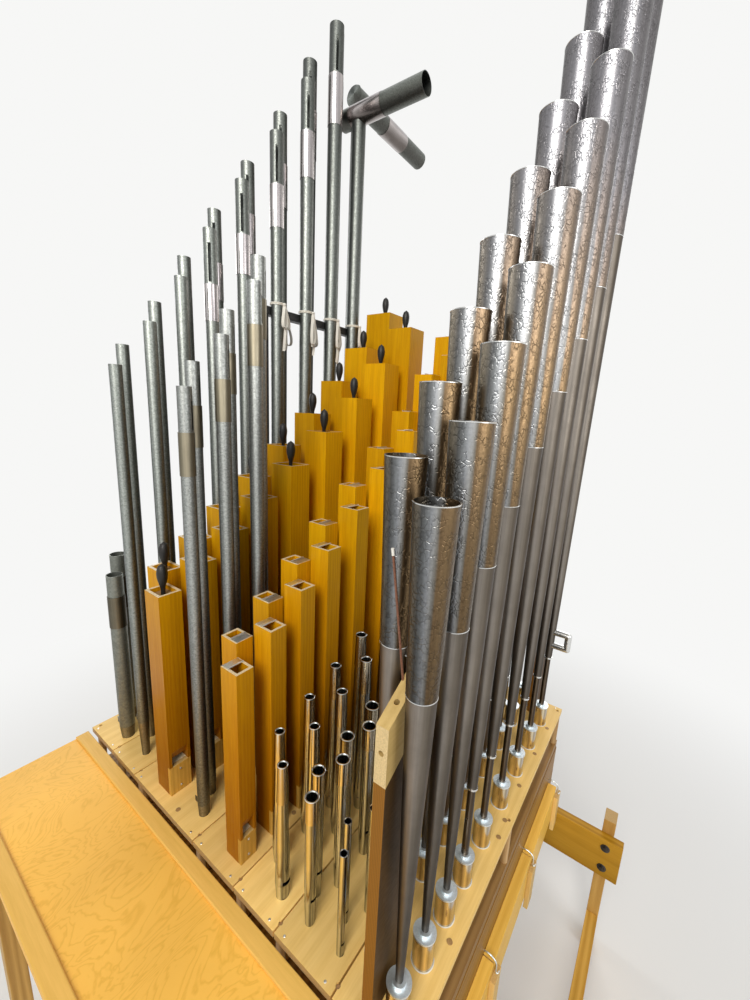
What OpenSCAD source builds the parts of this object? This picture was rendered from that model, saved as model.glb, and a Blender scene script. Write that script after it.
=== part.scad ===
// Pipe organ chest: seven rackboards on one windchest, with wood, metal and reed pipes.
// Millimetres, +Z up. Everything is drawn from the rackboards' top face at the treble, reed corner:
// x runs along the boards to the bass end, y across the ranks, and place() sets it on the ground.

/* [Windchest] */
// Height of the rackboards' top face above the ground
rack_h = 1000; // [900:10:1150]
// Clear height from the toeboards' top to the rackboards' top
rack_gap = 140; // [120:5:170]
// Thickness of a rackboard
rack_t = 18; // [14:1:22]
// Gap between neighbouring rackboards
board_gap = 4; // [2:0.5:6]
// Depth of the windchest case below the toeboards
case_h = 260; // [230:5:300]
// Thickness of the bung boards on the chest's side
bung_t = 30; // [24:1:34]

/* [Note spacing] */
// Spacing of pipes in one row at the treble end
cell_narrow = 96; // [94:1:104]
// Spacing of pipes in one row at the bass end
cell_wide = 139; // [134:1:148]

/* [Reed rank] */
// Speaking length of the shortest reed resonator
reed_len = 905; // [860:5:950]
// Bell diameter of the shortest reed resonator
reed_d = 68; // [62:1:72]
// Diameter of a reed boot
boot_d = 45; // [42:0.5:46]

/* [Wood ranks] */
// Height of the shortest open wood pipe
open_len = 522; // [490:2:560]
// Speaking length of the shortest stopped wood pipe
stopped_len = 532; // [500:2:560]

/* [Metal ranks] */
// Speaking length of the shortest string pipe
string_len = 1000; // [950:5:1050]
// Diameter of the shortest string pipe
string_d = 32; // [28:1:34]
// Height of the shortest tapered pipe above its foot
taper_len = 262; // [240:2:280]

/* [Walkboard] */
// Width of the walkboard in front of the pipes
walk_w = 314; // [280:2:340]

/* [Hidden] */
$fn = 48;
notes = 18;
light_notes = 6;
flute_notes = 2;
first_sleeve = 6;
first_mitre = 16;
first_stem = 6;
all_notes = [0:notes - 1];
semitone = pow(2, 1 / 12);
eps = 1;
fit = 0.3;

toe_t = 30;
toe_z = -rack_gap;
case_top = toe_z - toe_t;
case_bottom = case_top - case_h;
panel_t = 26;
lid_t = 24;
floor_t = 18;
ledge_z = case_top - 117;

widths = [165.5, 166, 141.5, 171, 317, 144.5, 159.5];
chest_w = edge(len(widths));
end_margin = 62;
chest_l = col(notes - 1) + end_margin;
pin_d = 22;
pin_tip_d = 9;
pin_margin = 21;
mid_joint = (col(9) + col(10)) / 2;

// Distance of each rank's right and left row from the chest's reed side
reed_rows = [55, 139];
narrow_rows = [196, 226];
round_rows = [284, 312];
taper_rows = [372, 436];
open_rows = [524, 590];
light_rows = [690, 735];
string_rows = [1016, 1078];
flute_rows = [1138, 1222];

boot_h = 72;
boot_wall = 1.5;
socket_h = 40;
flange_t = 4;
collar_d = 27;
collar_h = 6;
reed_base = boot_h + flange_t + collar_h;
ring_z = 267;
ring_t = 5;
stem_d = 18;
ring_d = 23;
tip_d = 15;
metal_wall = 1.6;
seam_share = 0.688;

open_cap_h = 75;
open_wall = 7;
stopped_cap_h = 92;
stopped_wall = 8;
cap_t = 12;
handle_d = 28;
handle_h = 74;
stopper_h = 60;
stopper_drop = 12;
flap_t = 1.2;
wood_foot_h = 60;

toe_d = 10;
string_foot = 120;
light_foot = 36;
taper_foot = 41;
round_foot = 67;
narrow_foot = 28;
flute_foot = 44;
mitre_z = [2235, 2340];
arm_reach = [302, 484];
arm_back = [80, 32];
arm_swell = 1.28;
arm_sleeve = [-30, 170];
arm_sleeve_l = 150;
loop_d = 34;
loop_wire = 4;
ceiling_h = 2480;
sleeve_wall = 1.4;
slot_w = 9;
slot_l = 106;
slot_rise = 5;
sleeve_drop = 152;
light_slot_l = 64;
slide_drop = 100;
slide_l = 98;
taper_slide_l = 92;
round_slide_l = 56;
slide_lip = 2;
flute_band = [0.7, 0.88];
flat_share = 0.43;

// Heights of the ranks' feet and mouths under their speaking lengths
reed_start = 78;
stopped_start = 80;
string_start = 190;
light_start = 136;
taper_start = 90;
round_start = 175;
narrow_start = 75;

bypass_note = 16;
bypass_z = [320, 370];
bypass_reach = 55;
bypass_d = 22;
hook_notes = [1:notes - 1];
hook_w = 12;
hook_t = 1.6;
hook_rise = 26;
hook_sink = 10;
hook_offset = 8;

rail_slope = 30;
rail_x = 21;
rail_z = 515;
rail_plumb = 108;
rail_t = 24;
rail_v = (reed_rows[0] + reed_rows[1]) / 2;
rail_end = chest_l - 6;
rail_post = 92;

tie_z = 1445;
tie_w = 34;
tie_t = 28;
tie_leg = 24;
tie_v = (string_rows[0] + string_rows[1]) / 2;
tie_low = mid_joint - tie_leg / 2 - 12;
tie_high = chest_l - 7;

walk_gap = 14;
walk_t = 18;
walk_l = chest_w - 8;
strip_w = 37;
strip_t = 8;
leg = 45;
frame_inset = 10;
frame_places = [120, chest_w - 165];

beam_h = 165;
beam_t = 36;
beam_right = 274;
beam_left = 66;
post_w = 41;
post_t = 60;
post_rise = 55;
post_places = [-240, chest_w + 10];
stretcher_z = -rack_h + 80;
stretcher_h = 100;
bung_start = 91;
bung_end = chest_l - 65;
bung_pitch = (bung_end - bung_start) / 3;
cleat_w = 48;
cleat_t = 14;
cleat_drop = 36;

x_low = -walk_gap - walk_w;
x_high = col(notes - 1) + arm_reach[1];
y_low = -beam_right;
y_high = chest_w + beam_left;
mid_x = (x_low + x_high) / 2;
mid_y = (y_low + y_high) / 2;

// Show one node or all of them

function edge(i) = i == 0 ? 0 : edge(i - 1) + widths[i - 1];
function col(n) = end_margin + min(n, 6) * cell_narrow / 2
    + min(max(n - 6, 0), 2) * (cell_narrow + cell_wide) / 4 + max(n - 8, 0) * cell_wide / 2;
function up(n) = pow(semitone, n);
function grow(size, n, notes_to_double) = size * pow(2, n / notes_to_double);

function reed_top(n) = reed_start + reed_len * up(n);
function bell_d(n) = reed_d + 1.4 * n;
function cone_base(n) = n < first_stem ? reed_base : ring_z + ring_t;
function cone_base_d(n) = n < first_stem ? tip_d : ring_d;
function seam_z(n) = reed_top(n) * seam_share;
function cone_d(n, z) = cone_base_d(n) + (bell_d(n) - cone_base_d(n))
    * (z - cone_base(n)) / (reed_top(n) - cone_base(n));

function open_x(n) = grow(46, n, 36);
function open_y(n) = grow(58, n, 48);
function open_top(n) = open_len * up(n);
function stopped_x(n) = grow(62, n, 24);
function stopped_y(n) = grow(72, n, 24);
function stopped_top(n) = stopped_start + stopped_len * up(n);
function stopped_rows(n) = [840 - 6 * n, 920 - 1.5 * n];

function string_pipe_d(n) = grow(string_d, n, 20);
function string_top(n) = min(string_start + string_len * up(n), ceiling_h);
function light_top(n) = light_start + string_len * up(n);
function arm_d(n) = arm_swell * string_pipe_d(n);
function sleeve_top(n) = string_top(n) - sleeve_drop;
function sleeve_len(n) = 0.065 * string_top(n);
function flute_d(n) = grow(46, n, 11);
function flute_top(n) = 573 * up(n);
function taper_d(n) = grow(35, n, 20);
function taper_top_d(n) = grow(19, n, 14);
function taper_top(n) = taper_start + taper_len * up(n);
function taper_at(n, z) = taper_d(n) + (taper_top_d(n) - taper_d(n)) * (z - taper_foot)
    / (taper_top(n) - taper_foot);
function round_d(n) = grow(26, n, 18);
function round_top(n) = round_start + 154 * up(n);
function narrow_d(n) = grow(17, n, 18);
function narrow_top(n) = narrow_start + 182 * up(n);
function foot_d(d, foot_top, z) = toe_d + (d - toe_d) * (z - toe_z) / (foot_top - toe_z);

module place() {
    translate([-mid_x, -mid_y, rack_h]) children();
}

module on_chest(n, rows) {
    translate([col(n), rows[n % 2], 0]) children();
}

module box(x0, y0, z0, x1, y1, z1) {
    translate([x0, y0, z0]) cube([x1 - x0, y1 - y0, z1 - z0]);
}

module rod(d, z0, z1) {
    translate([0, 0, z0]) cylinder(d = d, h = z1 - z0);
}

module cone(d0, d1, z0, z1) {
    translate([0, 0, z0]) cylinder(d1 = d0, d2 = d1, h = z1 - z0);
}

module tube(d0, d1, wall, z0, z1) {
    difference() {
        cone(d0, d1, z0, z1);
        translate([0, 0, z0 - 0.01]) cylinder(d1 = d0 - 2 * wall, d2 = d1 - 2 * wall, h = z1 - z0 + 0.02);
    }
}

// Timber frame that carries the chest
module bearers() {
    color("peru") place() for (x = [0, chest_l - beam_t])
        box(x, -beam_right, case_bottom - beam_h, x + beam_t, chest_w + beam_left, case_bottom);
}

module posts() {
    color("burlywood") place() for (x = [-post_t, chest_l], y = post_places)
        box(x, y, -rack_h, x + post_t, y + post_w, case_bottom + post_rise);
}

module stretchers() {
    color("peru") place() for (y = post_places)
        box(0, y, stretcher_z, chest_l, y + post_w, stretcher_z + stretcher_h);
}

// Windchest case, with an opening behind the bung boards
module chest_bottom() {
    color("burlywood") place() box(0, 0, case_bottom, chest_l, chest_w, case_bottom + floor_t);
}

module chest_ends() {
    color("burlywood") place() for (x = [0, chest_l - panel_t])
        box(x, 0, case_bottom + floor_t, x + panel_t, chest_w, case_top - lid_t);
}

module chest_sides() {
    color("peru") place() {
        difference() {
            box(panel_t, 0, case_bottom + floor_t, chest_l - panel_t, panel_t, case_top - lid_t);
            box(bung_joint(0) + cleat_w, -eps, case_bottom + 2 * floor_t, bung_joint(3) - cleat_w,
                panel_t + eps, ledge_z - floor_t);
        }
        box(panel_t, chest_w - panel_t, case_bottom + floor_t, chest_l - panel_t, chest_w, case_top - lid_t);
    }
}

module chest_top() {
    color("burlywood") place() box(0, 0, case_top - lid_t, chest_l, chest_w, case_top);
}

function bung_joint(i) = bung_start + i * bung_pitch;

module bung_boards() {
    color("gold") place() for (i = [0:2])
        box(bung_joint(i) + 1, -bung_t, case_bottom, bung_joint(i + 1) - 1, 0, ledge_z);
}

module bung_cleats() {
    color("tan") place() for (i = [0:3])
        box(bung_joint(i) - cleat_w / 2, -bung_t - cleat_t, case_bottom - cleat_drop,
            bung_joint(i) + cleat_w / 2, -bung_t, ledge_z - 30);
}

module toeboards() {
    color("wheat") place() for (i = [0:6])
        box(0, edge(i) + board_gap / 2, case_top, chest_l, edge(i + 1) - board_gap / 2, toe_z);
}

// Rackboards, each drilled for its own rank and half drilled for the pins on its joints
module pin_places() {
    for (x = [pin_margin, mid_joint, chest_l - pin_margin]) {
        for (i = [1:6]) translate([x, edge(i), 0]) children();
        for (v = [14, chest_w - 14]) translate([x, v, 0]) children();
    }
}

module rack_pins() {
    color("tan") place() pin_places() {
        rod(pin_d, toe_z, -rack_t);
        rod(pin_tip_d, -rack_t - eps, -4);
    }
}

module rackboard(i) {
    difference() {
        box(0, edge(i) + board_gap / 2, -rack_t, chest_l, edge(i + 1) - board_gap / 2, 0);
        pin_places() rod(pin_tip_d + 1, -rack_t - eps, eps);
        children();
    }
}

module hole(d) {
    rod(d, -rack_t - eps, eps);
}

module foot_hole(d, foot_top) {
    hole(foot_d(d, foot_top, 0) + fit);
}

module rackboard_reed() {
    color("wheat") place() rackboard(0) for (n = all_notes) on_chest(n, reed_rows) hole(boot_d + 1);
}

module rackboard_small() {
    color("wheat") place() rackboard(1) for (n = all_notes) {
        on_chest(n, narrow_rows) foot_hole(narrow_d(n), narrow_foot);
        on_chest(n, round_rows) foot_hole(round_d(n), round_foot);
    }
}

module rackboard_taper() {
    color("wheat") place() rackboard(2) for (n = all_notes)
        on_chest(n, taper_rows) foot_hole(taper_d(n), taper_foot);
}

module rackboard_open() {
    color("wheat") place() rackboard(3) for (n = all_notes) on_chest(n, open_rows) hole(27);
}

module rackboard_stopped() {
    color("wheat") place() rackboard(4) {
        for (n = all_notes) on_chest(n, stopped_rows(n)) hole(33);
        for (n = [0:light_notes - 1]) on_chest(n, light_rows) foot_hole(string_pipe_d(n), light_foot);
    }
}

module rackboard_string() {
    color("wheat") place() rackboard(5) for (n = all_notes)
        on_chest(n, string_rows) foot_hole(string_pipe_d(n), string_foot);
}

module rackboard_flute() {
    color("wheat") place() rackboard(6) for (n = [0:flute_notes - 1])
        on_chest(n, flute_rows) foot_hole(flute_d(n), flute_foot);
}

// Walkboard in front of the pipes
module walkboard() {
    color("goldenrod") place() box(x_low, 0, -walk_t - strip_t, -walk_gap, walk_l, -strip_t);
}

module walkboard_strips() {
    color("goldenrod") place() for (x = [x_low, -walk_gap - strip_w])
        box(x, 0, -strip_t, x + strip_w, walk_l, 0);
}

module walkboard_frame() {
    x0 = x_low + frame_inset;
    x1 = -walk_gap - frame_inset;
    top = -walk_t - strip_t;
    color("burlywood") place() for (y = frame_places) {
        for (x = [x0, x1 - leg]) box(x, y, -rack_h, x + leg, y + leg, top);
        for (z = [-rack_h + 90, top - 70]) box(x0 + leg - eps, y, z, x1 - leg + eps, y + leg, z + leg);
    }
}

// Sloping rail between the two rows of reeds, and its posts
function rail_low(x) = rail_z + (x - rail_x) * tan(rail_slope);
function rail_top(x) = rail_low(x) + rail_plumb;

module rail_plate(points) {
    translate([0, rail_v + rail_t / 2, 0]) rotate([90, 0, 0]) linear_extrude(rail_t) polygon(points);
}

module reed_rail() {
    x1 = rail_end;
    slot_half_w = hook_w / 2 + fit;
    slot_half_t = hook_t / 2 + fit;
    color("wheat") place() difference() {
        rail_plate([[rail_x, rail_z], [x1, rail_low(x1)], [x1, rail_top(x1)], [rail_x, rail_top(rail_x)]]);
        translate([rail_x + 38, rail_v, rail_top(rail_x + 38)]) rotate([0, -rail_slope, 0]) rod(10, -20, 5);
        translate([rail_x, rail_v, rail_z + 60]) rotate([0, 90, 0]) rod(10, -eps, 20);
        for (n = hook_notes) at_hook(n) box(-slot_half_w, -slot_half_t, -hook_sink, slot_half_w, slot_half_t,
            hook_sink);
    }
}

// Each strap stands in a slot of the rail, on the side of its own reed, and reaches over to the cone
module at_hook(n) {
    translate([col(n), rail_v, rail_top(col(n))]) rotate([0, 0, n % 2 == 0 ? 180 : 0])
        translate([0, hook_offset, 0]) children();
}

module reed_hooks() {
    color("silver") place() for (n = hook_notes) at_hook(n) {
        cone_r = cone_d(n, rail_top(col(n)) + hook_rise) / 2;
        reach = (reed_rows[1] - reed_rows[0]) / 2 - hook_offset - cone_r - fit;
        box(-hook_w / 2, -hook_t / 2, -hook_sink, hook_w / 2, hook_t / 2, hook_rise);
        box(-hook_w / 2, -hook_t / 2, hook_rise - hook_t, hook_w / 2, reach, hook_rise);
    }
}

module reed_rail_posts() {
    color("saddlebrown") place() for (x = [rail_x, rail_end - rail_post])
        rail_plate([[x, 0], [x + rail_post, 0], [x + rail_post, rail_low(x + rail_post)], [x, rail_low(x)]]);
}

// Black rail that the long strings are tied to
module tie_rail() {
    color("dimgray") place() difference() {
        box(tie_low, tie_v - tie_w / 2, tie_z - tie_t, tie_high, tie_v + tie_w / 2, tie_z);
        for (n = [8:notes - 1]) on_chest(n, string_rows)
            rod(string_pipe_d(n) + 2 * fit, tie_z - tie_t - eps, tie_z + eps);
    }
}

module tie_rail_posts() {
    color("dimgray") place() for (x = [mid_joint - tie_leg / 2, tie_high - tie_leg])
        box(x, tie_v - tie_leg / 2, 0, x + tie_leg, tie_v + tie_leg / 2, tie_z - tie_t);
}

// Reed pipes: boot, block, stem with its ring, plain cone and mottled bell
module reed_boots() {
    color("silver") place() for (n = all_notes) on_chest(n, reed_rows) difference() {
        union() {
            rod(boot_d, -rack_t - 6, boot_h);
            cone(toe_d, boot_d, toe_z, -rack_t - 6);
        }
        rod(boot_d - 2 * boot_wall, boot_h - socket_h, boot_h + eps);
    }
}

module reed_blocks() {
    block_d = boot_d - 2 * boot_wall - 2 * fit;
    color("lightgray") place() for (n = all_notes) on_chest(n, reed_rows) difference() {
        union() {
            rod(block_d, boot_h - 14, boot_h + flange_t);
            rod(boot_d + 3, boot_h, boot_h + flange_t);
            rod(collar_d, boot_h, reed_base);
        }
        rod(tip_d - 4, boot_h - 14 - eps, reed_base + eps);
    }
}

module reed_stems() {
    color("silver") place() for (n = [first_stem:notes - 1]) on_chest(n, reed_rows) {
        tube(stem_d, stem_d, metal_wall, reed_base, ring_z);
        tube(ring_d + 3, ring_d + 3, (ring_d + 3 - stem_d) / 2 + metal_wall, ring_z, ring_z + ring_t);
    }
}

// Side loop let into the lower cone of one long reed
module reed_bypass() {
    n = bypass_note;
    color("silver") place() on_chest(n, reed_rows) difference() {
        union() {
            for (z = bypass_z) translate([0, 0, z]) rotate([90, 0, 0]) rod(bypass_d, 0, bypass_reach);
            translate([0, -bypass_reach, 0]) {
                rod(bypass_d, bypass_z[0], bypass_z[1]);
                for (z = bypass_z) translate([0, 0, z]) sphere(d = bypass_d);
            }
        }
        cone(cone_base_d(n), cone_d(n, seam_z(n)), cone_base(n), seam_z(n));
    }
}

module reed_cones() {
    color("gray") place() for (n = all_notes) on_chest(n, reed_rows)
        tube(cone_base_d(n), cone_d(n, seam_z(n)), metal_wall, cone_base(n), seam_z(n));
}

module reed_bells() {
    color("silver") place() for (n = all_notes) on_chest(n, reed_rows)
        tube(cone_d(n, seam_z(n)) + 1, bell_d(n), metal_wall, seam_z(n), reed_top(n));
}

// Wood pipes: four walls, a block with a cap in front of it, and a mouth above the cap
module wood_body(x, y, wall, top, cap_h) {
    difference() {
        box(-x / 2, -y / 2, 0, x / 2, y / 2, top);
        box(-x / 2 + wall, -y / 2 + cap_t, cap_h, x / 2 - wall, y / 2 - wall, top + eps);
        box(-x / 2 + wall, -y / 2 + wall, cap_h + 60, x / 2 - wall, -y / 2 + cap_t + eps, top + eps);
        box(-x / 2 - eps, -y / 2 - eps, -eps, x / 2 + eps, -y / 2 + cap_t, cap_h);
        translate([-x / 2 + wall, 0, 0]) rotate([90, 0, 90]) linear_extrude(x - 2 * wall)
            polygon([[-y / 2 - eps, cap_h - 0.01], [-y / 2 + cap_t + eps, cap_h - 0.01],
                [-y / 2 + cap_t + eps, cap_h + 18], [-y / 2 - eps, cap_h + 50]]);
    }
}

module wood_cap(x, y, cap_h) {
    box(-x / 2, -y / 2, 0, x / 2, -y / 2 + cap_t, cap_h);
}

// The left row's wood pipes stand back to back with the right row's
module turned(n) {
    rotate([0, 0, n % 2 * 180]) children();
}

module stopped_bodies() {
    color("goldenrod") place() for (n = all_notes) on_chest(n, stopped_rows(n)) turned(n)
        wood_body(stopped_x(n), stopped_y(n), stopped_wall, stopped_top(n), stopped_cap_h);
}

module stopped_caps() {
    color("peru") place() for (n = all_notes) on_chest(n, stopped_rows(n)) turned(n)
        wood_cap(stopped_x(n), stopped_y(n), stopped_cap_h);
}

// A narrow neck that swells to a round bulb
function handle_r(t) = t < 0.62 ? 5 + (handle_d / 2 - 5) * pow(sin(90 * t / 0.62), 1.4)
    : handle_d / 2 * sqrt(max(0, 1 - pow((t - 0.62) / 0.38, 2)));

module handle() {
    rotate_extrude() polygon(concat([[0, 0]], [for (t = [0:0.1:0.95]) [handle_r(t), handle_h * t]],
        [[0, handle_h]]));
}

module stoppers() {
    color("black") place() for (n = all_notes) on_chest(n, stopped_rows(n)) {
        x = stopped_x(n) / 2 - stopped_wall - fit;
        y = stopped_y(n) / 2 - stopped_wall - fit;
        translate([0, 0, stopped_top(n) - stopper_drop]) {
            box(-x, -y, -stopper_h, x, y, 0);
            rod(12, -eps, stopper_drop + 8);
            translate([0, 0, stopper_drop]) handle();
        }
    }
}

module open_bodies() {
    color("goldenrod") place() for (n = all_notes) on_chest(n, open_rows) turned(n)
        wood_body(open_x(n), open_y(n), open_wall, open_top(n), open_cap_h);
}

module open_caps() {
    color("peru") place() for (n = all_notes) on_chest(n, open_rows) turned(n)
        wood_cap(open_x(n), open_y(n), open_cap_h);
}

// Metal sheet on an open pipe's top, with its free edge rolled up
module tuning_flaps() {
    color("silver") place() for (n = all_notes) on_chest(n, open_rows) turned(n)
        translate([-open_x(n) / 2 + 3, 0.08 * open_y(n), open_top(n)]) {
            cube([open_x(n) - 6, 0.42 * open_y(n) - 1, flap_t]);
            translate([0, 0, 2.2]) rotate([0, 90, 0]) cylinder(d = 4, h = open_x(n) - 6);
        }
}

module wood_foot(d) {
    rod(d, -wood_foot_h, 0);
    cone(d / 2, d, toe_z, -wood_foot_h);
}

module wood_feet() {
    color("peru") place() for (n = all_notes) {
        on_chest(n, open_rows) wood_foot(26);
        on_chest(n, stopped_rows(n)) wood_foot(32);
    }
}

// Metal flue pipes: a body with a mouth, on a tapered foot whose front is pressed flat under the mouth
module mouth(d, foot_top) {
    box(-0.33 * d, -d, foot_top + 2, 0.33 * d, -0.3 * d, foot_top + 2 + 0.28 * d);
}

module ears(d, foot_top) {
    for (s = [-1, 1]) translate([s * (0.33 * d + 1), 0, foot_top])
        box(-0.6, -0.66 * d, 1, 0.6, -0.345 * d, 0.28 * d + 8);
}

module plain_body(d0, d1, foot_top, top) {
    difference() {
        tube(d0, d1, metal_wall, foot_top, top);
        mouth(d0, foot_top);
    }
}

module eared_body(d, foot_top, top) {
    rotate([0, 0, 180]) {
        plain_body(d, d, foot_top, top);
        ears(d, foot_top);
    }
}

module flue_foot(d, foot_top) {
    difference() {
        cone(toe_d, d, toe_z, foot_top);
        box(-d, -d, toe_z, d, -flat_share * d, foot_top + eps);
    }
}

// Roller between the ears, which steadies the tone
module beard(n, foot_top) {
    d = string_pipe_d(n);
    translate([-0.33 * d - 0.4, 0.56 * d, foot_top + 2 + 0.14 * d]) rotate([0, 90, 0])
        cylinder(d = 0.2 * d, h = 0.66 * d + 0.8);
}

module slot(d, z, length, turn) {
    rotate([0, 0, turn]) box(-slot_w / 2, -d, z, slot_w / 2, 0, z + length);
}

module string_body(n) {
    d = string_pipe_d(n);
    difference() {
        eared_body(d, string_foot, string_top(n));
        if (n >= first_sleeve) slot(d, sleeve_top(n) + slot_rise, slot_l, -40);
    }
}

module at_mitre(n) {
    translate([0, 0, mitre_z[n - first_mitre]]) rotate([0, 0, n == first_mitre ? -90 : 0]) children();
}

module string_bodies() {
    color("slategray") place() for (n = all_notes) on_chest(n, string_rows) {
        if (n < first_mitre) string_body(n);
        else eared_body(string_pipe_d(n), string_foot, mitre_z[n - first_mitre] - 0.4 * arm_d(n));
    }
}

// The two longest pipes end in a wider tube that lies across the riser, closed at its back
module mitre_arms() {
    color("slategray") place() for (n = [first_mitre:notes - 1]) {
        d = arm_d(n);
        back = -arm_back[n - first_mitre];
        on_chest(n, string_rows) at_mitre(n) difference() {
            rotate([0, 90, 0]) rod(d, back, arm_reach[n - first_mitre]);
            rotate([0, 90, 0]) rod(d - 2 * metal_wall, back + metal_wall, arm_reach[n - first_mitre] + eps);
            rod(string_pipe_d(n), -d, 0);
        }
    }
    color("slategray") place() on_chest(notes - 1, string_rows) at_mitre(notes - 1)
        translate([0, 0, arm_d(notes - 1) / 2]) rotate([90, 0, 0]) rotate_extrude()
            translate([(loop_d - loop_wire) / 2, 0]) circle(d = loop_wire);
}

module sleeve(d, z0, z1) {
    tube(d + 2 * sleeve_wall + fit, d + 2 * sleeve_wall + fit, sleeve_wall, z0, z1);
}

module string_sleeves() {
    color("silver") place() {
        for (n = [first_sleeve:first_mitre - 1]) on_chest(n, string_rows)
            sleeve(string_pipe_d(n), sleeve_top(n) - sleeve_len(n), sleeve_top(n));
        for (n = [first_mitre:notes - 1]) on_chest(n, string_rows) at_mitre(n) rotate([0, 90, 0])
            sleeve(arm_d(n), arm_sleeve[n - first_mitre], arm_sleeve[n - first_mitre] + arm_sleeve_l);
    }
}

module string_beards() {
    color("silver") place() {
        for (n = all_notes) on_chest(n, string_rows) beard(n, string_foot);
        for (n = [0:light_notes - 1]) on_chest(n, light_rows) beard(n, light_foot);
    }
}

module light_bodies() {
    color("silver") place() for (n = [0:light_notes - 1]) on_chest(n, light_rows) difference() {
        eared_body(string_pipe_d(n), light_foot, light_top(n));
        slot(string_pipe_d(n), light_top(n) - slide_drop + slot_rise, light_slot_l, 40);
    }
}

module light_slides() {
    color("tan") place() {
        for (n = [0:light_notes - 1]) on_chest(n, light_rows)
            sleeve(string_pipe_d(n), light_top(n) - slide_drop - slide_l, light_top(n) - slide_drop);
        for (n = [0:flute_notes - 1]) on_chest(n, flute_rows)
            sleeve(flute_d(n), flute_band[0] * flute_top(n), flute_band[1] * flute_top(n));
    }
}

module flute_bodies() {
    color("silver") place() for (n = [0:flute_notes - 1]) on_chest(n, flute_rows)
        eared_body(flute_d(n), flute_foot, flute_top(n));
}

module taper_bodies() {
    color("silver") place() for (n = all_notes) on_chest(n, taper_rows)
        plain_body(taper_d(n), taper_top_d(n), taper_foot, taper_top(n));
}

module round_bodies() {
    color("silver") place() for (n = all_notes) on_chest(n, round_rows)
        plain_body(round_d(n), round_d(n), round_foot, round_top(n));
}

module narrow_bodies() {
    color("silver") place() for (n = all_notes) on_chest(n, narrow_rows)
        plain_body(narrow_d(n), narrow_d(n), narrow_foot, narrow_top(n));
}

// Slides that stand a little proud of the tapered and the round pipes
module small_slides() {
    over = 2 * sleeve_wall + fit;
    color("silver") place() for (n = all_notes) {
        z0 = taper_top(n) - taper_slide_l;
        z1 = taper_top(n) + slide_lip;
        on_chest(n, taper_rows) tube(taper_at(n, z0) + over, taper_at(n, z1) + over, sleeve_wall, z0, z1);
        on_chest(n, round_rows) sleeve(round_d(n), round_top(n) - round_slide_l, round_top(n) + slide_lip);
    }
}

module metal_feet() {
    color("gray") place() {
        for (n = all_notes) {
            on_chest(n, string_rows) rotate([0, 0, 180]) flue_foot(string_pipe_d(n), string_foot);
            on_chest(n, taper_rows) flue_foot(taper_d(n), taper_foot);
            on_chest(n, round_rows) flue_foot(round_d(n), round_foot);
            on_chest(n, narrow_rows) flue_foot(narrow_d(n), narrow_foot);
        }
        for (n = [0:light_notes - 1]) on_chest(n, light_rows) rotate([0, 0, 180])
            flue_foot(string_pipe_d(n), light_foot);
        for (n = [0:flute_notes - 1]) on_chest(n, flute_rows) rotate([0, 0, 180])
            flue_foot(flute_d(n), flute_foot);
    }
}

bearers();
posts();
stretchers();
chest_bottom();
chest_ends();
chest_sides();
chest_top();
bung_boards();
bung_cleats();
toeboards();
rack_pins();
rackboard_reed();
rackboard_small();
rackboard_taper();
rackboard_open();
rackboard_stopped();
rackboard_string();
rackboard_flute();
walkboard();
walkboard_strips();
walkboard_frame();
reed_rail();
reed_hooks();
reed_rail_posts();
tie_rail();
tie_rail_posts();
reed_boots();
reed_blocks();
reed_stems();
reed_bypass();
reed_cones();
reed_bells();
stopped_bodies();
stopped_caps();
stoppers();
open_bodies();
open_caps();
tuning_flaps();
wood_feet();
string_bodies();
mitre_arms();
string_sleeves();
string_beards();
light_bodies();
light_slides();
flute_bodies();
taper_bodies();
round_bodies();
narrow_bodies();
small_slides();
metal_feet();
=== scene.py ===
# %% [markdown]
# # A pipe organ chest, dressed for its portrait
# The built organ comes in as a fixed frame: timber, chest, rackboards and more than two hundred pipes, each
# kind in a node of its own. Everything below gives those pieces the finish of the real ones. The frame's box
# is noted first.

# %% Load the built organ
import bmesh
import bpy
import math
import random
from mathutils import Matrix, Vector


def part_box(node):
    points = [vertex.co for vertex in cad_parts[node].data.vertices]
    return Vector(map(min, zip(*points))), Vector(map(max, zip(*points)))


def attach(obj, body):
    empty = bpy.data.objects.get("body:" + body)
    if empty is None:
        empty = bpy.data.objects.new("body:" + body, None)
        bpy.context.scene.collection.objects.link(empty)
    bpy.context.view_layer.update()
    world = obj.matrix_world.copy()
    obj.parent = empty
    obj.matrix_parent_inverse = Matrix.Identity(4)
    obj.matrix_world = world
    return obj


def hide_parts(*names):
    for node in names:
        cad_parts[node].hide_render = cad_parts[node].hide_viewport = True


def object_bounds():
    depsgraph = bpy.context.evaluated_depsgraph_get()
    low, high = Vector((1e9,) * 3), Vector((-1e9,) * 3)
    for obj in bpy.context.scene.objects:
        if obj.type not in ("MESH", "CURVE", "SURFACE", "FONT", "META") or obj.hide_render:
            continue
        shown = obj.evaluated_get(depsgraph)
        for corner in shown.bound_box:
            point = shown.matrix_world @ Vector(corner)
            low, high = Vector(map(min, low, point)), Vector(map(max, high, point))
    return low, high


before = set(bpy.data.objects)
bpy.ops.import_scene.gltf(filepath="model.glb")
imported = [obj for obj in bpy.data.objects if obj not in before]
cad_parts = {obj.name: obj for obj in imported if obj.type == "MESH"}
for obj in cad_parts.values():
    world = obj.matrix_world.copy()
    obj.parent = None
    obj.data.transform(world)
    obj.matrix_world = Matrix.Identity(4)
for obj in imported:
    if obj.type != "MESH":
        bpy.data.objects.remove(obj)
built_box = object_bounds()
print("built size in metres", [round(high - low, 3) for low, high in zip(*built_box)])

# %% [markdown]
# ## The view
# The organ is seen from the walkboard with a very wide lens, held upright and tipped a little down. Three
# axes at right angles say where the camera's right, top and back point, which is steadier than three
# turning angles when the camera is also rolled by a degree.

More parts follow.
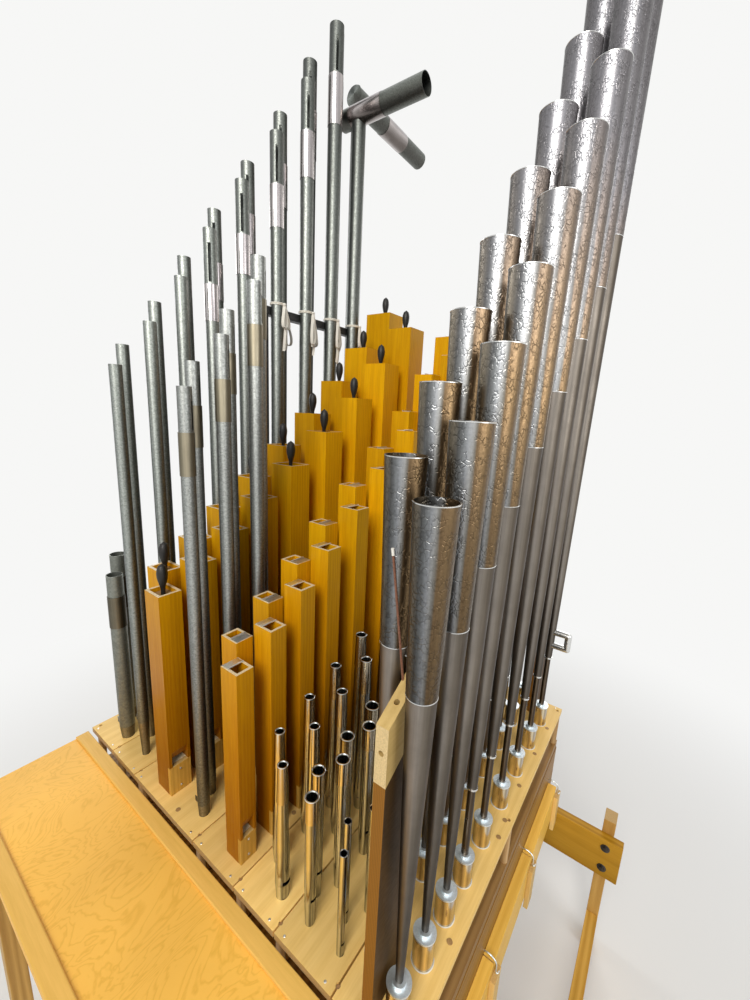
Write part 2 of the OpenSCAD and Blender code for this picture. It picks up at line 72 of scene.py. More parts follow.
# %% Camera
lens_mm = 14.94
film_mm = 36
eye = Vector((-1.0717, -0.7332, 2.1008))
view_right = Vector((0.5909368, -0.805404, 0.0460222))
view_up = Vector((0.1412154, 0.1594425, 0.9770549))
view_back = Vector((-0.7942619, -0.5708787, 0.2079559))

camera_data = bpy.data.cameras.new("view_from_walkboard")
camera_data.lens = lens_mm
camera_data.sensor_width = film_mm
camera_data.sensor_fit = "AUTO"
camera_data.clip_start = 0.02
camera = bpy.data.objects.new("view_from_walkboard", camera_data)
turned = Matrix((view_right, view_up, view_back)).transposed().to_4x4()
camera.matrix_world = Matrix.Translation(eye) @ turned
bpy.context.scene.collection.objects.link(camera)
bpy.context.scene.camera = camera
bpy.context.scene.view_settings.view_transform = "Standard"
print("camera at", [round(value, 3) for value in eye], "lens", lens_mm)

# %% [markdown]
# ## Small tools for finishes
# A finish is a chain of nodes that ends in one shader. The helper called add puts a node into the chain and
# joins its inputs, and the others are short names for the nodes that every finish needs, so that a chain
# reads as plain lines. They find the chain through the socket that they are given, whose id_data is its node
# tree. Every pattern reads Object coordinates or an attribute of the piece, so it stays on the wood or the
# metal from any side. The last helper joins colour, roughness and relief to the shader.

# %% Finish helpers
finishes = {}


def start_finish(name, colour, rough, metallic=0.0, coat=0.0, coat_rough=0.12, specular=0.5):
    finish = bpy.data.materials.new(name)
    finish.use_nodes = True
    shader = finish.node_tree.nodes["Principled BSDF"]
    even_values = {"Base Color": (*colour, 1), "Roughness": rough, "Metallic": metallic, "Coat Weight": coat,
                   "Coat Roughness": coat_rough, "Specular IOR Level": specular}
    for socket, value in even_values.items():
        shader.inputs[socket].default_value = value
    finishes[name] = finish
    return finish.node_tree, shader


def add(tree, kind, inputs, **settings):
    made = tree.nodes.new(kind)
    for key, value in settings.items():
        setattr(made, key, value)
    for socket, source in inputs.items():
        if isinstance(source, bpy.types.NodeSocket):
            tree.links.new(source, made.inputs[socket])
        else:
            made.inputs[socket].default_value = source
    return made


def maths(operation, first, second=0.0):
    return add(first.id_data, "ShaderNodeMath", {0: first, 1: second}, operation=operation).outputs[0]


def times(first, second):
    return maths("MULTIPLY", first, second)


def plus(first, second):
    return maths("ADD", first, second)


def vector_maths(operation, first, second=(0, 0, 0), output="Vector"):
    inputs = {0: first, 1: second}
    return add(first.id_data, "ShaderNodeVectorMath", inputs, operation=operation).outputs[output]


def noise(where, scale, detail=4.0, rough=0.55, distortion=0.0):
    inputs = {"Vector": where, "Scale": scale, "Detail": detail, "Roughness": rough, "Distortion": distortion}
    return add(where.id_data, "ShaderNodeTexNoise", inputs).outputs["Fac"]


def stretched(where, factors):
    return add(where.id_data, "ShaderNodeMapping", {"Vector": where, "Scale": factors}).outputs[0]


def shades(amount, stops):
    made = add(amount.id_data, "ShaderNodeValToRGB", {"Fac": amount})
    ramp = made.color_ramp
    while len(ramp.elements) < len(stops):
        ramp.elements.new(1.0)
    for element, (position, colour) in zip(ramp.elements, stops):
        element.position = position
        element.color = (*colour, 1)
    return made.outputs["Color"]


def level(amount, low_in, high_in, low_out, high_out):
    inputs = {"Value": amount, "From Min": low_in, "From Max": high_in, "To Min": low_out, "To Max": high_out}
    return add(amount.id_data, "ShaderNodeMapRange", inputs).outputs["Result"]


def valued(colour, amount, hue=0.5):
    inputs = {"Color": colour, "Value": amount, "Hue": hue}
    return add(colour.id_data, "ShaderNodeHueSaturation", inputs).outputs[0]


def blended(amount, first, second, mode="MIX"):
    inputs = {0: amount, 6: first, 7: second}
    return add(first.id_data, "ShaderNodeMix", inputs, data_type="RGBA", blend_type=mode).outputs[2]


def attribute(tree, name, output):
    return add(tree, "ShaderNodeAttribute", {}, attribute_name=name).outputs[output]


def object_place(tree):
    return add(tree, "ShaderNodeTexCoord", {}).outputs["Object"]


def place_along(tree, axis):
    return add(tree, "ShaderNodeSeparateXYZ", {0: object_place(tree)}).outputs[axis]


def shaded(colour, share):
    return tuple(share * value for value in colour)


def join_finish(tree, shader, colour, rough, relief, depth, strength=1.0):
    bump = add(tree, "ShaderNodeBump", {"Height": relief, "Distance": depth, "Strength": strength})
    for source, socket in ((colour, "Base Color"), (rough, "Roughness"), (bump.outputs["Normal"], "Normal")):
        tree.links.new(source, shader.inputs[socket])


print("finish helpers ready")

# %% [markdown]
# ## The studio
# A pale floor and an even pale surround keep the colours honest. What the camera and the polished metal see
# is nearly white, while the surround lights the organ much less than that, so that soft lamps can shape it.
# The floor takes the organ's shadow near its feet and melts into the surround further out, as a paper sweep
# does in a studio, which a mix by the distance from the middle gives without a horizon.

# %% Surround and floor
surround_white = (0.93, 0.93, 0.92, 1)
surround_light = 0.34
floor_grey = (0.80, 0.80, 0.79)
floor_rough = 0.85
floor_reach = 9
fade_start = 1.3
fade_end = 3.4


def seen_directly(tree):
    rays = add(tree, "ShaderNodeLightPath", {}).outputs
    mirrored = maths("MAXIMUM", rays["Is Camera Ray"], rays["Is Glossy Ray"])
    return maths("MAXIMUM", mirrored, rays["Is Transmission Ray"])


def two_shaders(tree, amount, first, second, output):
    choice = add(tree, "ShaderNodeMixShader", {0: amount, 1: first.outputs[0], 2: second.outputs[0]})
    tree.links.new(choice.outputs[0], output.inputs[0])


world = bpy.data.worlds.new("studio")
bpy.context.scene.world = world
world.use_nodes = True
sky = world.node_tree
sky.nodes.clear()
backdrop = add(sky, "ShaderNodeBackground", {"Color": surround_white, "Strength": 1})
lighting = add(sky, "ShaderNodeBackground", {"Color": surround_white, "Strength": surround_light})
two_shaders(sky, seen_directly(sky), lighting, backdrop, sky.nodes.new("ShaderNodeOutputWorld"))

bm = bmesh.new()
bmesh.ops.create_grid(bm, x_segments=1, y_segments=1, size=floor_reach)
bmesh.ops.translate(bm, vec=(0, 0, built_box[0][2]), verts=bm.verts)
floor_mesh = bpy.data.meshes.new("studio_floor")
bm.to_mesh(floor_mesh)
bm.free()
floor = bpy.data.objects.new("studio_floor", floor_mesh)
bpy.context.scene.collection.objects.link(floor)

paint, matt = start_finish("floor_paint", floor_grey, floor_rough)
glow = add(paint, "ShaderNodeEmission", {"Color": surround_white, "Strength": 1})
away = vector_maths("LENGTH", object_place(paint), output="Value")
fade = add(paint, "ShaderNodeMapRange", {"Value": away, "From Min": fade_start, "From Max": fade_end},
           interpolation_type="SMOOTHSTEP").outputs["Result"]
far_and_seen = times(fade, seen_directly(paint))
two_shaders(paint, far_and_seen, matt, glow, paint.nodes["Material Output"])
floor_mesh.materials.append(finishes["floor_paint"])
print("floor at", round(built_box[0][2], 4))

# %% [markdown]
# ## Soft lamps
# Large area lamps give wide highlights with soft edges, which is what makes a round pipe read as round. The
# strongest stands behind the viewer's left shoulder. Three weaker ones keep the other sides readable.

# %% Lamps
lamp_width = 2.0
lamp_height = 2.6
lamp_target = Vector((0, 0, 1.6))
lamps = [
    ("key_lamp", (-3.4, -1.2, 4.2), 150, (1, 0.96, 0.90)),
    ("reed_side_lamp", (-0.6, -4.2, 2.8), 48, (0.98, 0.98, 1)),
    ("string_side_lamp", (0.4, 4.4, 3.0), 70, (1, 1, 1)),
    ("bass_end_lamp", (4.2, 0.2, 3.4), 60, (1, 1, 1)),
]
for name, place, watts, tint in lamps:
    data = bpy.data.lights.new(name, "AREA")
    data.shape = "RECTANGLE"
    data.size = lamp_width
    data.size_y = lamp_height
    data.energy = watts
    data.color = tint
    lamp = bpy.data.objects.new(name, data)
    aim = lamp_target - Vector(place)
    lamp.matrix_world = Matrix.Translation(place) @ aim.to_track_quat("-Z", "Y").to_matrix().to_4x4()
    bpy.context.scene.collection.objects.link(lamp)
    print(name, watts, "watts")

# %% [markdown]
# ## Wood
# A sawn board shows long thin fibres, wider growth rings that drift across them, and on its ends the cut
# fibres, which drink varnish and turn darker or stay pale. Noise that is stretched along the board makes the
# fibres, a wave that the same noise bends makes the rings, and the direction of the surface picks out the
# ends. Each piece of wood carries a number called tone, which shifts its pattern and its shade a little. The
# varnished pipes also get a painted shade toward their feet, where a change by height makes them darker and
# redder.

# %% Wood finishes
grain_length = {"x": (0.05, 1, 1), "y": (1, 0.05, 1), "z": (1, 1, 0.05)}
ring_across = {"x": "Y", "y": "X", "z": "X"}
axis_number = {"x": 0, "y": 1, "z": 2}
fibre_scale = 240.0
fibre_depth = 0.00018
wood_gloss = 0.12
tone_shift = (3.1, 5.7, 9.3)
foot_levels = (1.1, 1.75)
foot_hue = 0.045
even_hue = 0.5
end_limit = 0.85


def surface_direction(tree):
    normal = add(tree, "ShaderNodeTexCoord", {}).outputs["Normal"]
    return add(tree, "ShaderNodeSeparateXYZ", {0: normal}).outputs


def wood(name, dark, pale, end, along="z", ring_scale=26.0, ring_share=0.45, rough=0.42, coat=0.0,
         figure=5.0, foot_shade=1.0):
    tree, shader = start_finish(name, pale, rough, coat=coat, specular=wood_gloss)
    tone = attribute(tree, "tone", "Fac")
    shift = add(tree, "ShaderNodeCombineXYZ", {axis: times(tone, amount)
                                               for axis, amount in enumerate(tone_shift)}).outputs[0]
    place = vector_maths("ADD", object_place(tree), shift)
    lengthwise = stretched(place, grain_length[along])
    fibres = noise(lengthwise, fibre_scale, 5.0, 0.65)
    drift = noise(lengthwise, 7.0, 3.0, 0.5)
    rings = add(tree, "ShaderNodeTexWave", {"Vector": lengthwise, "Scale": ring_scale, "Distortion": figure,
                                            "Detail": 2.0, "Detail Scale": 1.4, "Detail Roughness": 0.55},
                wave_type="BANDS", bands_direction=ring_across[along], wave_profile="SIN").outputs["Fac"]
    grain = plus(times(rings, ring_share), times(fibres, 1.0 - ring_share))
    colour = shades(grain, [(0.22, dark), (0.78, pale)])
    clouds = level(drift, 0.3, 0.7, 0.9, 1.08)
    colour = valued(colour, times(clouds, level(tone, 0.0, 1.0, 0.9, 1.1)))
    # Painted shade toward the feet: below the given heights the colour turns darker and redder.
    height = place_along(tree, "Z")
    hue = level(height, *foot_levels, even_hue - foot_hue * (1.0 - foot_shade), even_hue)
    colour = valued(colour, level(height, *foot_levels, foot_shade, 1.0), hue)
    facing = maths("ABSOLUTE", surface_direction(tree)[axis_number[along]])
    cut = maths("GREATER_THAN", facing, end_limit)
    end_colour = shades(noise(place, 420.0, 3.0, 0.6), [(0.3, shaded(end, 0.72)), (0.7, end)])
    relief = plus(fibres, times(rings, 0.4))
    join_finish(tree, shader, blended(cut, colour, end_colour),
                level(fibres, 0.2, 0.8, rough + 0.08, rough - 0.08), relief, fibre_depth)


wood("pipe_varnish", (0.60, 0.275, 0.002), (0.80, 0.430, 0.004), (0.84, 0.69, 0.44), "z",
     ring_scale=30, ring_share=0.2, rough=0.36, figure=6, foot_shade=0.46)
wood("cap_wood", (0.46, 0.25, 0.040), (0.64, 0.375, 0.075), (0.60, 0.40, 0.15), "z", ring_share=0.2)
wood("foot_wood", (0.45, 0.26, 0.10), (0.62, 0.40, 0.18), (0.6, 0.4, 0.2), "z")
wood("rack_maple", (0.82, 0.53, 0.16), (0.96, 0.66, 0.24), (0.58, 0.35, 0.10), "x",
     ring_scale=9, ring_share=0.2, figure=7)
wood("toe_pine", (0.24, 0.13, 0.045), (0.38, 0.22, 0.08), (0.34, 0.19, 0.07), "x", ring_scale=14)
wood("case_pine", (0.19, 0.09, 0.018), (0.31, 0.16, 0.034), (0.30, 0.16, 0.04), "x", ring_scale=12)
wood("case_pine_across", (0.24, 0.12, 0.028), (0.38, 0.20, 0.052), (0.34, 0.18, 0.05), "y", ring_scale=12)
wood("bung_pine", (0.76, 0.43, 0.065), (0.92, 0.575, 0.115), (0.70, 0.42, 0.13), "x", ring_scale=13,
     ring_share=0.3, rough=0.4)
wood("cleat_pine", (0.60, 0.38, 0.12), (0.78, 0.54, 0.20), (0.62, 0.40, 0.15), "z", ring_scale=20,
     ring_share=0.3)
wood("beam_pine", (0.31, 0.15, 0.007), (0.46, 0.245, 0.022), (0.50, 0.30, 0.08), "y", ring_scale=12,
     rough=0.45)
wood("stretcher_pine", (0.46, 0.24, 0.035), (0.64, 0.37, 0.075), (0.50, 0.30, 0.09), "x",
     ring_scale=12, rough=0.45)
wood("leg_pine", (0.44, 0.24, 0.06), (0.62, 0.38, 0.11), (0.56, 0.36, 0.14), "z", ring_scale=16,
     rough=0.48, coat=0.1)
wood("rail_birch", (0.50, 0.34, 0.12), (0.62, 0.445, 0.18), (0.76, 0.58, 0.30), "x", ring_scale=18,
     ring_share=0.25)
wood("pin_wood", (0.40, 0.24, 0.10), (0.55, 0.36, 0.17), (0.42, 0.25, 0.11), "z")
wood("plug_wood", (0.36, 0.21, 0.08), (0.50, 0.31, 0.12), (0.42, 0.25, 0.10), "z")
wood("stopper_pine", (0.42, 0.26, 0.11), (0.58, 0.38, 0.18), (0.40, 0.25, 0.11), "z")
print("finishes so far", len(finishes))

# %% [markdown]
# ## Plywood
# Rotary cut veneer has no straight grain: the knife peels across the rings and draws flames and islands.
# Contour lines of a slow noise give that figure. The walkboard wears its honey varnish unevenly, and the
# support of the reed rail is the same kind of board in a brown stain, with its edge in a warmer one.

# %% Plywood finishes
veneer_gloss = 0.18
veneer_depth = 0.00012


def peeled_veneer(name, dark, pale, place_scale, contours, rough, coat, edge=None):
    tree, shader = start_finish(name, pale, rough, coat=coat, specular=veneer_gloss)
    place = object_place(tree)
    slow = noise(stretched(place, place_scale), 1.0, 4.0, 0.5, 0.7)
    lines = maths("PINGPONG", times(slow, contours), 1.0)
    soft_lines = level(lines, 0.0, 0.5, 0.0, 1.0)
    fleck = noise(stretched(place, (8, 45, 45)), 9.0, 4.0, 0.6)
    mood = noise(place, 3.2, 2.0, 0.5)
    figure = plus(times(soft_lines, 0.5), times(fleck, 0.5))
    colour = shades(figure, [(0.15, dark), (0.7, pale)])
    colour = valued(colour, level(mood, 0.3, 0.7, 0.92, 1.07))
    if edge:
        side = maths("LESS_THAN", maths("ABSOLUTE", surface_direction(tree)[1]), 0.5)
        plies = add(tree, "ShaderNodeTexWave", {"Vector": place, "Scale": 95.0, "Distortion": 0.6},
                    wave_type="BANDS", bands_direction="Y").outputs["Fac"]
        edge_colour = shades(plies, [(0.3, shaded(edge, 0.78)), (0.7, edge)])
        colour = blended(side, colour, edge_colour)
    relief = plus(fleck, times(soft_lines, 0.6))
    join_finish(tree, shader, colour, level(fleck, 0.2, 0.8, rough + 0.1, rough - 0.05), relief, veneer_depth)


peeled_veneer("walk_ply", (0.80, 0.435, 0.062), (0.92, 0.520, 0.092), (5.2, 9.0, 9.0), 34.0, 0.45, 0.04)
peeled_veneer("stained_ply", (0.034, 0.017, 0.004), (0.080, 0.040, 0.010), (1.6, 2.0, 0.5), 12.0,
              0.55, 0.0, edge=(0.28, 0.12, 0.017))
wood("strip_wood", (0.74, 0.44, 0.095), (0.87, 0.53, 0.135), (0.64, 0.39, 0.10), "y", ring_scale=9,
     ring_share=0.15, figure=3)
print("finishes so far", len(finishes))

# %% [markdown]
# ## Metal
# Each metal pipe is given painted reflections: long bands from light to dark around its wall, as a polished
# tube mirrors a room, with the painted highlight toward a side that is fixed for each kind of pipe and warm
# bands that stand for mirrored wood. Rolled pipe metal is polished lengthwise, and handling adds its own
# streaks. The band at a point depends on where it lies around the pipe. That is read from the attribute
# called lathe, the place measured from the pipe's own axis, so a band stays on its metal from every side.
# Light and shade are also painted by height, so that a finish grows brighter or duller on the way up.

# %% Band helpers
climb_from = 1.0
climb_to = 3.6
band_relief = 0.00004
tone_spread = 0.06


def start_metal(name, bands, rough):
    return start_finish(name, bands[len(bands) // 2][1], rough, metallic=1.0)


# Picks a painted reflection band by the angle around the pipe, with the painted highlight toward the given
# side.
def around(tree, painted_highlight_side):
    flat = vector_maths("MULTIPLY", attribute(tree, "lathe", "Vector"), (1, 1, 0))
    outward = vector_maths("NORMALIZE", flat)
    angle = math.radians(painted_highlight_side)
    painted_highlight_way = (math.cos(angle), math.sin(angle), 0)
    return level(vector_maths("DOT_PRODUCT", outward, painted_highlight_way, "Value"), -1.0, 1.0, 0.0, 1.0)


# Paints light and shade by height: the colour is multiplied by a grey that is given for each height.
def painted_light_by_height(colour, stops):
    share = level(place_along(colour.id_data, "Z"), climb_from, climb_to, 0.0, 1.0)
    greys = [((z - climb_from) / (climb_to - climb_from), (amount,) * 3) for z, amount in stops]
    return blended(1.0, colour, shades(share, greys), "MULTIPLY")


def banded(tree, painted_highlight_side, bands, sway, upper_bands=None, change=(0, 1)):
    lathe = attribute(tree, "lathe", "Vector")
    drift = noise(stretched(lathe, (1, 1, 0.12)), 38.0, 3.0, 0.55)
    turn = plus(around(tree, painted_highlight_side), level(drift, 0.3, 0.7, -sway, sway))
    streaks = noise(stretched(lathe, (1, 1, 0.015)), 260.0, 3.0, 0.6)
    colour = shades(turn, bands)
    if upper_bands:
        share = level(place_along(tree, "Z"), *change, 0.0, 1.0)
        colour = blended(share, colour, shades(turn, upper_bands))
    return valued(colour, level(streaks, 0.3, 0.7, 0.9, 1.1)), streaks


def banded_metal(name, painted_highlight_side, bands, rough, sway=0.03, haze=18.0, painted_height_light=()):
    tree, shader = start_metal(name, bands, rough)
    colour, streaks = banded(tree, painted_highlight_side, bands, sway)
    veil = noise(object_place(tree), haze, 4.0, 0.6)
    tone = level(attribute(tree, "tone", "Fac"), 0.0, 1.0, 1.0 - tone_spread, 1.0 + tone_spread)
    colour = valued(colour, times(level(veil, 0.3, 0.7, 0.9, 1.1), tone))
    if painted_height_light:
        colour = painted_light_by_height(colour, painted_height_light)
    join_finish(tree, shader, colour, level(veil, 0.3, 0.7, rough + 0.07, rough - 0.04),
                plus(streaks, veil), band_relief)


print("band helpers ready")

# %% [markdown]
# ## Zinc
# Zinc sheet cools into small crystals that stay visible as grey spangle. Cells of a Voronoi pattern give each
# crystal its own grey, fine noise breaks their edges, and both sit on the painted reflection bands of a
# rolled tube. The long strings also grow lighter from the bass to the treble.

# %% Zinc finishes
treble_to_bass = (-0.5, 0.15)
crystal_depth = 0.00015


def crystal_zinc(name, painted_highlight_side, bands, rough, crystal=330.0, painted_height_light=(), contrast=0.22, treble_shade=1.0):
    tree, shader = start_metal(name, bands, rough)
    place = object_place(tree)
    cells = add(tree, "ShaderNodeTexVoronoi", {"Vector": place, "Scale": crystal, "Randomness": 1.0})
    grey = add(tree, "ShaderNodeSeparateColor", {0: cells.outputs["Color"]}).outputs[0]
    dust = noise(place, crystal * 2.4, 3.0, 0.6)
    stain = noise(stretched(place, (9, 9, 2.2)), 1.0, 3.0, 0.55)
    spangle = plus(times(grey, 0.45), times(dust, 0.55))
    colour = shades(stain if painted_highlight_side is None else around(tree, painted_highlight_side), bands)
    tone = level(attribute(tree, "tone", "Fac"), 0.0, 1.0, 0.9, 1.1)
    shade = times(level(stain, 0.3, 0.7, 0.93, 1.06), tone)
    sparkle = level(spangle, 0.25, 0.75, 1.0 - contrast, 1.0 + contrast)
    colour = valued(colour, times(shade, sparkle))
    if painted_height_light:
        colour = painted_light_by_height(colour, painted_height_light)
    if treble_shade != 1.0:
        lighter = level(place_along(tree, "X"), *treble_to_bass, treble_shade, 1.0)
        colour = valued(colour, lighter)
    join_finish(tree, shader, colour, level(spangle, 0.2, 0.8, rough + 0.1, rough - 0.08), spangle,
                crystal_depth)


# The sides toward which the painted highlights of the strings, the reeds and the small pipes face.
string_side = -35
reed_side = -70
small_side = -45
# Painted reflections around the zinc pipes, from their dark edges through the painted highlight.
zinc_reflections = [(0.0, (0.089, 0.096, 0.090)), (0.12, (0.155, 0.167, 0.159)), (0.28, (0.227, 0.242, 0.227)),
              (0.40, (0.274, 0.292, 0.276)), (0.54, (0.215, 0.230, 0.213)), (0.72, (0.155, 0.165, 0.150)),
              (0.88, (0.112, 0.118, 0.105)), (1.0, (0.078, 0.077, 0.069))]
pale_zinc_reflections = [(0.0, (0.160, 0.164, 0.156)), (0.12, (0.256, 0.267, 0.256)), (0.32, (0.384, 0.402, 0.388)),
              (0.46, (0.448, 0.463, 0.444)), (0.66, (0.336, 0.348, 0.328)), (0.86, (0.224, 0.230, 0.212)),
              (1.0, (0.136, 0.135, 0.120))]
foot_zinc_reflections = [(0.0, (0.05, 0.045, 0.035)), (0.3, (0.30, 0.285, 0.255)), (0.5, (0.24, 0.225, 0.195)),
              (1.0, (0.06, 0.05, 0.04))]
# The height lists paint shade on the low parts of the strings and on the tops of the longest ones.
crystal_zinc("crystal_zinc", string_side, zinc_reflections, 0.44, treble_shade=1.4,
             painted_height_light=[(1.0, 0.6), (1.5, 0.9), (2.0, 1.1), (2.6, 0.95), (3.1, 0.7), (3.5, 0.6)])
crystal_zinc("light_zinc", string_side, pale_zinc_reflections, 0.44, crystal=300.0,
             painted_height_light=[(1.0, 0.5), (1.35, 0.68), (1.8, 0.92), (2.3, 1.0)])
crystal_zinc("dark_zinc", string_side, zinc_reflections, 0.4, painted_height_light=[(1.0, 1.1), (3.4, 1.1)])
crystal_zinc("foot_zinc", string_side, foot_zinc_reflections, 0.4, crystal=300.0, contrast=0.15)
crystal_zinc("pale_zinc", None, [(0.3, (0.175, 0.185, 0.165)), (0.7, (0.225, 0.236, 0.212))], 0.55,
             crystal=160.0, contrast=0.12)
print("finishes so far", len(finishes))

# %% [markdown]
# ## Creased bell metal
# The bells are rolled from thin bright sheet that was poured over cloth, so it keeps short broken creases.
# The edges of Voronoi cells make a net of lines, and patches of noise leave only pieces of it. The lines are
# pressed in with bump, which catches glints of the lamps, and the colour is darkened a little along them as a
# painted shade. The painted reflection bands change their tint on the way up, painted to mirror the ceiling
# instead of the pipes.

# %% Bell, cone and boot finishes
crease_depth = 0.0005
crease_strength = 0.8


def creased_metal(name, painted_highlight_side, bands, upper_bands, change, rough, painted_height_light, cell=118.0, line=0.13):
    tree, shader = start_metal(name, bands, rough)
    colour, streaks = banded(tree, painted_highlight_side, bands, 0.03, upper_bands, change)
    place = object_place(tree)
    wander = add(tree, "ShaderNodeTexNoise", {"Vector": place, "Scale": 70.0, "Detail": 2.0}).outputs["Color"]
    bend = vector_maths("MULTIPLY", wander, (0.012, 0.012, 0.012))
    bent = vector_maths("ADD", place, bend)
    net = add(tree, "ShaderNodeTexVoronoi", {"Vector": stretched(bent, (1, 1, 0.8)), "Scale": cell},
              feature="DISTANCE_TO_EDGE").outputs["Distance"]
    lines = level(net, 0.0, line, 1.0, 0.0)
    kept = level(noise(place, 48.0, 2.0, 0.5), 0.44, 0.52, 0.0, 1.0)
    crease = times(lines, kept)
    dimple = noise(place, 210.0, 3.0, 0.6)
    colour = valued(colour, level(dimple, 0.3, 0.7, 0.84, 1.14))
    # Painted shade along the creases.
    colour = valued(colour, level(crease, 0.0, 1.0, 1.0, 0.68))
    colour = painted_light_by_height(colour, painted_height_light)
    relief = maths("SUBTRACT", times(dimple, 0.25), crease)
    join_finish(tree, shader, colour, level(dimple, 0.3, 0.7, rough + 0.08, rough - 0.04), relief,
                crease_depth, crease_strength)


# Painted reflections of the bells: dark edges, a painted silver highlight and warm bands that stand for
# mirrored wood; higher up they change to cooler greys. The cones, stems and boots get painted reflections of
# the same kind.
bell_reflections = [(0.0, (0.14, 0.125, 0.10)), (0.08, (0.36, 0.30, 0.21)), (0.19, (0.28, 0.245, 0.19)),
              (0.28, (0.17, 0.17, 0.165)), (0.38, (0.34, 0.355, 0.365)), (0.47, (0.56, 0.58, 0.61)),
              (0.56, (0.64, 0.64, 0.63)), (0.63, (0.40, 0.37, 0.32)), (0.68, (0.38, 0.25, 0.135)),
              (0.86, (0.43, 0.285, 0.145)), (0.94, (0.26, 0.17, 0.09)), (1.0, (0.34, 0.26, 0.17))]
high_bell_reflections = [(0.0, (0.158, 0.149, 0.154)), (0.12, (0.247, 0.236, 0.245)), (0.28, (0.315, 0.309, 0.330)),
                   (0.40, (0.438, 0.444, 0.479)), (0.48, (0.528, 0.528, 0.547)),
                   (0.56, (0.393, 0.387, 0.415)), (0.72, (0.270, 0.256, 0.262)),
                   (0.90, (0.202, 0.188, 0.194)), (1.0, (0.135, 0.123, 0.126))]
cone_reflections = [(0.0, (0.065, 0.050, 0.036)), (0.16, (0.144, 0.119, 0.094)), (0.36, (0.238, 0.212, 0.187)),
              (0.50, (0.259, 0.234, 0.209)), (0.68, (0.194, 0.169, 0.140)), (0.86, (0.115, 0.094, 0.072)),
              (1.0, (0.058, 0.043, 0.032))]
stem_reflections = [(0.0, (0.03, 0.022, 0.015)), (0.3, (0.13, 0.10, 0.07)), (0.45, (0.20, 0.165, 0.13)),
              (0.6, (0.11, 0.08, 0.055)), (1.0, (0.03, 0.02, 0.012))]
boot_reflections = [(0.0, (0.22, 0.18, 0.12)), (0.12, (0.58, 0.48, 0.31)), (0.26, (0.90, 0.76, 0.52)),
              (0.36, (0.68, 0.56, 0.38)), (0.44, (0.32, 0.25, 0.16)), (0.54, (0.52, 0.43, 0.29)),
              (0.66, (0.84, 0.72, 0.50)), (0.78, (0.38, 0.32, 0.24)), (0.92, (0.62, 0.58, 0.53)),
              (1.0, (0.22, 0.19, 0.15))]
# The height lists paint the lowest bells and cones darker and the highest bells a little darker again.
creased_metal("bell_metal", reed_side, bell_reflections, high_bell_reflections, (2.15, 2.75), 0.33,
              [(1.0, 0.26), (1.65, 0.28), (1.95, 0.45), (2.25, 0.80), (2.5, 0.78), (2.9, 0.74),
               (3.2, 0.6), (3.5, 0.42)])
banded_metal("cone_metal", reed_side, cone_reflections, 0.42, haze=14.0,
             painted_height_light=[(1.08, 0.34), (1.35, 0.68), (1.55, 1.0), (3.5, 1.0)])
banded_metal("stem_metal", reed_side, stem_reflections, 0.3, painted_height_light=[(1.0, 0.8), (1.5, 1.1)])
banded_metal("boot_polish", reed_side, boot_reflections, 0.17)
banded_metal("flange_satin", reed_side, [(0.0, (0.62, 0.68, 0.70)), (1.0, (0.74, 0.79, 0.82))],
             0.42, haze=60.0)
banded_metal("seam_solder", reed_side, [(0.0, (0.55, 0.56, 0.56)), (1.0, (0.80, 0.80, 0.78))], 0.22)
print("finishes so far", len(finishes))

# %% [markdown]
# ## Tin, sleeves and small metal
# The smallest pipes are polished tin, and their painted reflections run in narrow bands from dark grey to
# nearly white. The painted reflections of the tuning sleeves are brighter than those of the zinc that they
# slide on.

# %% Tin and sleeve finishes
# Painted reflections of the tin pipes, their slides, the sleeves and the lacquered slides.
tin_reflections = [(0.0, (0.168, 0.168, 0.174)), (0.08, (0.364, 0.371, 0.370)), (0.19, (0.812, 0.825, 0.759)),
             (0.29, (0.960, 0.960, 0.960)), (0.38, (0.840, 0.859, 0.804)), (0.46, (0.364, 0.362, 0.347)),
             (0.57, (0.239, 0.244, 0.249)), (0.68, (0.560, 0.572, 0.564)), (0.78, (0.308, 0.311, 0.315)),
             (0.90, (0.532, 0.555, 0.543)), (1.0, (0.140, 0.143, 0.153))]
slide_reflections = [(0.0, (0.200, 0.177, 0.146)), (0.16, (0.600, 0.530, 0.403)), (0.32, (0.970, 0.915, 0.762)),
               (0.48, (0.660, 0.582, 0.448)), (0.62, (0.340, 0.291, 0.224)), (0.80, (0.560, 0.489, 0.370)),
               (1.0, (0.200, 0.172, 0.140))]
sleeve_reflections = [(0.0, (0.16, 0.145, 0.14)), (0.14, (0.48, 0.45, 0.45)), (0.28, (0.90, 0.88, 0.88)),
                (0.42, (0.56, 0.53, 0.54)), (0.62, (0.38, 0.35, 0.35)), (0.80, (0.50, 0.46, 0.45)),
                (1.0, (0.15, 0.13, 0.12))]
lacquer_reflections = [(0.0, (0.101, 0.086, 0.054)), (0.3, (0.302, 0.271, 0.198)), (0.5, (0.374, 0.330, 0.240)),
                 (0.8, (0.202, 0.175, 0.120)), (1.0, (0.086, 0.073, 0.048))]
